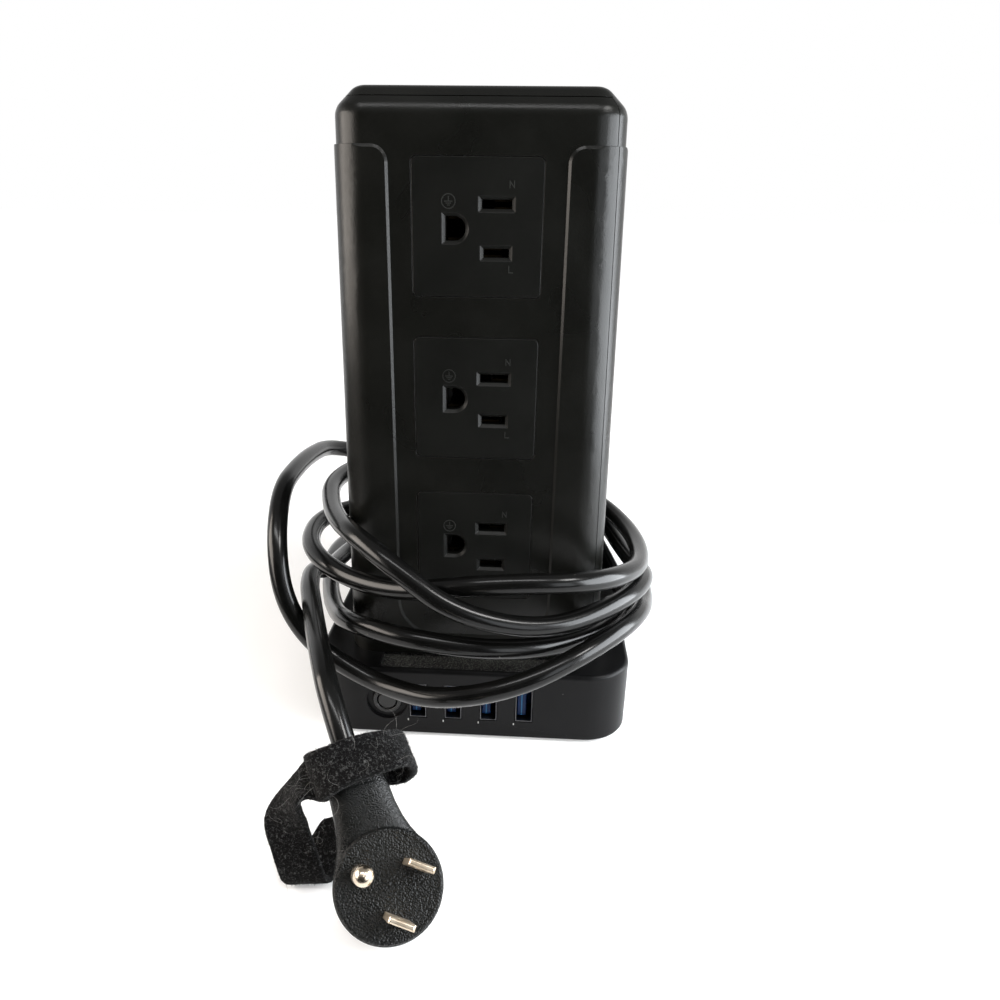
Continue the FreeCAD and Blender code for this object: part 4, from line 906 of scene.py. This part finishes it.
def makePorts():
    blue = makeTongueFinish()
    half = port["height"] / 2
    for number, across in enumerate(portPlaces()):
        left, right = port["tongue"]
        reach, tall, deep = port["block"]
        back = port["depth"] - port["front"]
        shape = bmesh.new()
        addBox(shape, (across + left, port["start"] - port["front"], port["middle"] - half),
               (across + right, back, port["middle"] + half))
        addBox(shape, (across - reach, back - deep, port["middle"] - tall),
               (across + reach, back, port["middle"] + tall))
        tongue = addPiece("usbTongue%d" % (number + 1), meshOf("usbTongue", shape), blue, "tower",
                          ["usb_tongue_%d" % (number + 1)])
        finishMesh(tongue.data)
        addBevel(tongue, port["softEdge"], 3)
    shape = bmesh.new()
    width, deep, tall = port["tickSize"]
    for across in portPlaces():
        x, z = across + port["tick"][0], port["tick"][1]
        addBox(shape, (x - width / 2, port["sunk"] - port["front"] - deep, z - tall / 2),
               (x + width / 2, port["sunk"] - port["front"], z + tall / 2))
    addPiece("portTicks", meshOf("portTicks", shape), materials["whiteMark"], "tower")


makePorts()
print("ports made")

# Outlet marks: a ground sign beside the round hole, N and L beside the slots, in the face's millimetres
marks = {
    "tower": 43.0, "level": 30.0, "draft": 0.77, "recess": 0.6, "height": 0.14,
    "lowest": 67.0, "pitch": 48.0,
    "sunk": 0.05, "ringSteps": 28, "signRadius": 2.0, "line": 0.26,
    # middle of a mark, and its straight strokes from there
    "sign": ((-8.0, 7.0), [((0, 1.2), (0, 0)), ((-1.0, 0), (1.0, 0)), ((-0.62, -0.5), (0.62, -0.5)),
                           ((-0.25, -1.0), (0.25, -1.0))]),
    "neutral": ((9.5, 11.4), [((-0.612, -0.85), (-0.612, 0.85)), ((0.612, -0.85), (0.612, 0.85)),
                              ((-0.612, 0.85), (0.612, -0.85))]),
    "live": ((9.7, -10.6), [((-0.612, -0.85), (-0.612, 0.85)), ((-0.612, -0.85), (0.4896, -0.85))]),
}


def faceMatrix(side, level):
    # from a point across, inwards and up an outlet's face to the part's own frame
    along = (level - marks["level"]) / math.cos(math.radians(marks["draft"]))
    return (Matrix.Rotation(math.radians(90 * sides.index(side)), 4, "Z")
            @ Matrix.Scale(0.001, 4)
            @ Matrix.Translation((0, -marks["tower"], marks["level"]))
            @ Matrix.Rotation(math.radians(-marks["draft"]), 4, "X")
            @ Matrix.Translation((0, marks["recess"], along)))


def addBar(shape, start, end):
    # a straight stroke on the face, from one point to another
    line, height, sunk = marks["line"], marks["height"], marks["sunk"]
    run = end - start
    turn = Matrix.Rotation(-math.atan2(run.y, run.x), 3, "Y")
    bar = bmesh.ops.create_cube(shape, size=1.0)["verts"]
    bmesh.ops.scale(shape, verts=bar, vec=(run.length + line, height + sunk, line))
    bmesh.ops.rotate(shape, verts=bar, cent=(0, 0, 0), matrix=turn)
    centre = (start + end) / 2
    bmesh.ops.translate(shape, verts=bar, vec=(centre.x, (sunk - height) / 2, centre.y))


def addRing(shape, centre):
    # the ground sign's ring, turned before any other stroke is there
    radius, height, sunk = marks["signRadius"], marks["height"], marks["sunk"]
    inner = radius - marks["line"]
    outline = [(inner, sunk), (inner, -height), (radius, -height), (radius, sunk)]
    verts = [shape.verts.new((size, depth, 0)) for size, depth in outline]
    edges = [shape.edges.new((verts[number], verts[(number + 1) % 4])) for number in range(4)]
    bmesh.ops.spin(shape, geom=verts + edges, cent=(0, 0, 0), axis=(0, 1, 0), angle=math.tau,
                   steps=marks["ringSteps"], use_merge=True)
    bmesh.ops.translate(shape, verts=shape.verts, vec=(centre[0], 0, centre[1]))


def makeMarks():
    shape = bmesh.new()
    addRing(shape, marks["sign"][0])
    for mark in ("sign", "neutral", "live"):
        middle, strokes = marks[mark]
        for start, end in strokes:
            addBar(shape, Vector(middle) + Vector(start), Vector(middle) + Vector(end))
    bmesh.ops.recalc_face_normals(shape, faces=shape.faces)
    single = meshOf("outletMarks", shape)
    joined = bmesh.new()
    for side in sides:
        for row in range(3):
            part = single.copy()
            part.transform(faceMatrix(side, marks["lowest"] + marks["pitch"] * row))
            joined.from_mesh(part)
            bpy.data.meshes.remove(part)
    bpy.data.meshes.remove(single)
    addPiece("outletMarks", meshOf("outletMarks", joined), materials["mark"], "tower")


makeMarks()
print("marks made")

# Studio
studio = {
    # name, place, point aimed at, width and height, power and colour
    "lights": [
        ("left", (-0.40, -0.16, 0.22), (0, -0.16, 0.20), (0.36, 0.24), 2.3, (1.0, 0.91, 0.82)),
        ("right", (0.38, -0.10, 0.155), (0, -0.10, 0.15), (0.40, 0.30), 5.0, (0.92, 0.96, 1.0)),
        ("near", (0.27, -0.42, 0.16), (0, -0.10, 0.14), (0.16, 0.26), 0.4, (0.92, 0.96, 1.0)),
        ("key", (0.50, -0.30, 0.80), (0, -0.07, 0.06), (0.24, 0.16), 3.0, (1.0, 0.99, 0.97)),
        ("top", (-0.05, -0.40, 0.95), (0, -0.05, 0.05), (0.7, 0.12), 3.0, (1.0, 1.0, 1.0)),
    ],
    # the world: its light on the object, how bright it shows, from and to which height it fades to the zenith
    "worldFill": 0.5, "worldShown": 1.0, "zenith": 0.3, "fadeStart": 0.3, "fadeEnd": 0.6,
    # the floor: its grey, and how much it is lifted near the object and far from it
    "floorColour": 0.80, "floorHalf": 8.0, "floorLevel": -0.0001,
    "floorLift": 0.3, "farLift": 0.9, "liftStart": 0.15, "liftEnd": 0.5,
    # the card: half width, near and far end, height, and the left wing's inner edge and back
    "card": {"half": 0.8, "near": -0.2, "far": -0.8, "height": 0.6, "side": -0.24, "back": 0.2,
             "level": 0.0004, "shade": 0.02},
}


def addLight(name, place, aim, size, power, colour):
    data = bpy.data.lights.new(name, "AREA")
    data.shape = "RECTANGLE"
    data.size, data.size_y = size
    data.energy = power
    data.color = colour
    light = addObject(name, data)
    light.location = place
    light.rotation_euler = (Vector(aim) - Vector(place)).to_track_quat("-Z", "Y").to_euler()


def backgroundRays(tree):
    # 1 for rays from the camera, from gloss and through glass, otherwise 0
    rays = tree.nodes.new("ShaderNodeLightPath")
    some = mathNode(tree, "MAXIMUM", rays.outputs["Is Camera Ray"], rays.outputs["Is Glossy Ray"])
    return mathNode(tree, "MAXIMUM", some, rays.outputs["Is Transmission Ray"])


def makeCard():
    # a bent dark card before the object, seen only in gloss, so that black plastic stays black
    size = studio["card"]
    half, near, far, level, shade = size["half"], size["near"], size["far"], size["level"], size["shade"]
    shape = bmesh.new()
    outline = [(near, level), (far, level), (far, size["height"])]
    first, second = ([shape.verts.new((sign * half, place, rise)) for place, rise in outline]
                     for sign in (-1, 1))
    for number in range(2):
        shape.faces.new((first[number], second[number], second[number + 1], first[number + 1]))
    wing = [(-half, near), (size["side"], near), (size["side"], size["back"]), (-half, size["back"])]
    shape.faces.new([shape.verts.new((x, y, level)) for x, y in wing])
    card = addObject("darkCard", meshOf("darkCard", shape))
    felt, tree, shader, place = startMaterial("felt", Base_Color=(shade, shade, shade), Roughness=1.0,
                                              Specular_IOR_Level=0.0)
    card.data.materials.append(felt)
    for ray in ("camera", "diffuse", "transmission", "volume_scatter", "shadow"):
        setattr(card, "visible_" + ray, False)
    return card


def makeWorld():
    # white for the camera and in gloss, dimmer overhead, and a plain fill on the object
    world = bpy.data.worlds.new("studio")
    bpy.context.scene.world = world
    world.use_nodes = True
    tree = world.node_tree
    background = tree.nodes["Background"]
    background.inputs["Color"].default_value = (1, 1, 1, 1)
    height = axesOf(tree, tree.nodes.new("ShaderNodeTexCoord").outputs["Generated"])["Z"]
    sky = rangeNode(tree, height, studio["fadeStart"], studio["fadeEnd"], 1.0, studio["zenith"])
    level = rangeNode(tree, backgroundRays(tree), 0, 1, studio["worldFill"], studio["worldShown"])
    tree.links.new(mathNode(tree, "MULTIPLY", level, sky), background.inputs["Strength"])


def makeFloor():
    # pale paper that keeps the shadow near the object and fades to white farther off
    shape = bmesh.new()
    bmesh.ops.create_grid(shape, x_segments=1, y_segments=1, size=studio["floorHalf"])
    bmesh.ops.translate(shape, verts=shape.verts, vec=(0, 0, studio["floorLevel"]))
    floor = addObject("floor", meshOf("floor", shape))
    grey = studio["floorColour"]
    paper, tree, shader, place = startMaterial("paper", Base_Color=(grey, grey, grey), Roughness=1.0,
                                               Specular_IOR_Level=0.0, Emission_Color=(1.0, 1.0, 1.0))
    span = tree.nodes.new("ShaderNodeVectorMath")
    span.operation = "LENGTH"
    tree.links.new(place, span.inputs[0])
    lift = rangeNode(tree, span.outputs["Value"], studio["liftStart"], studio["liftEnd"], studio["floorLift"],
                     studio["farLift"])
    tree.links.new(mathNode(tree, "MULTIPLY", backgroundRays(tree), lift), shader.inputs["Emission Strength"])
    paper.cycles.emission_sampling = "NONE"
    floor.data.materials.append(paper)
    return floor


for name, *values in studio["lights"]:
    addLight(name + "Light", *values)
makeWorld()
makeFloor()
makeCard()
bpy.context.scene.view_settings.view_transform = "Standard"
print("studio made")
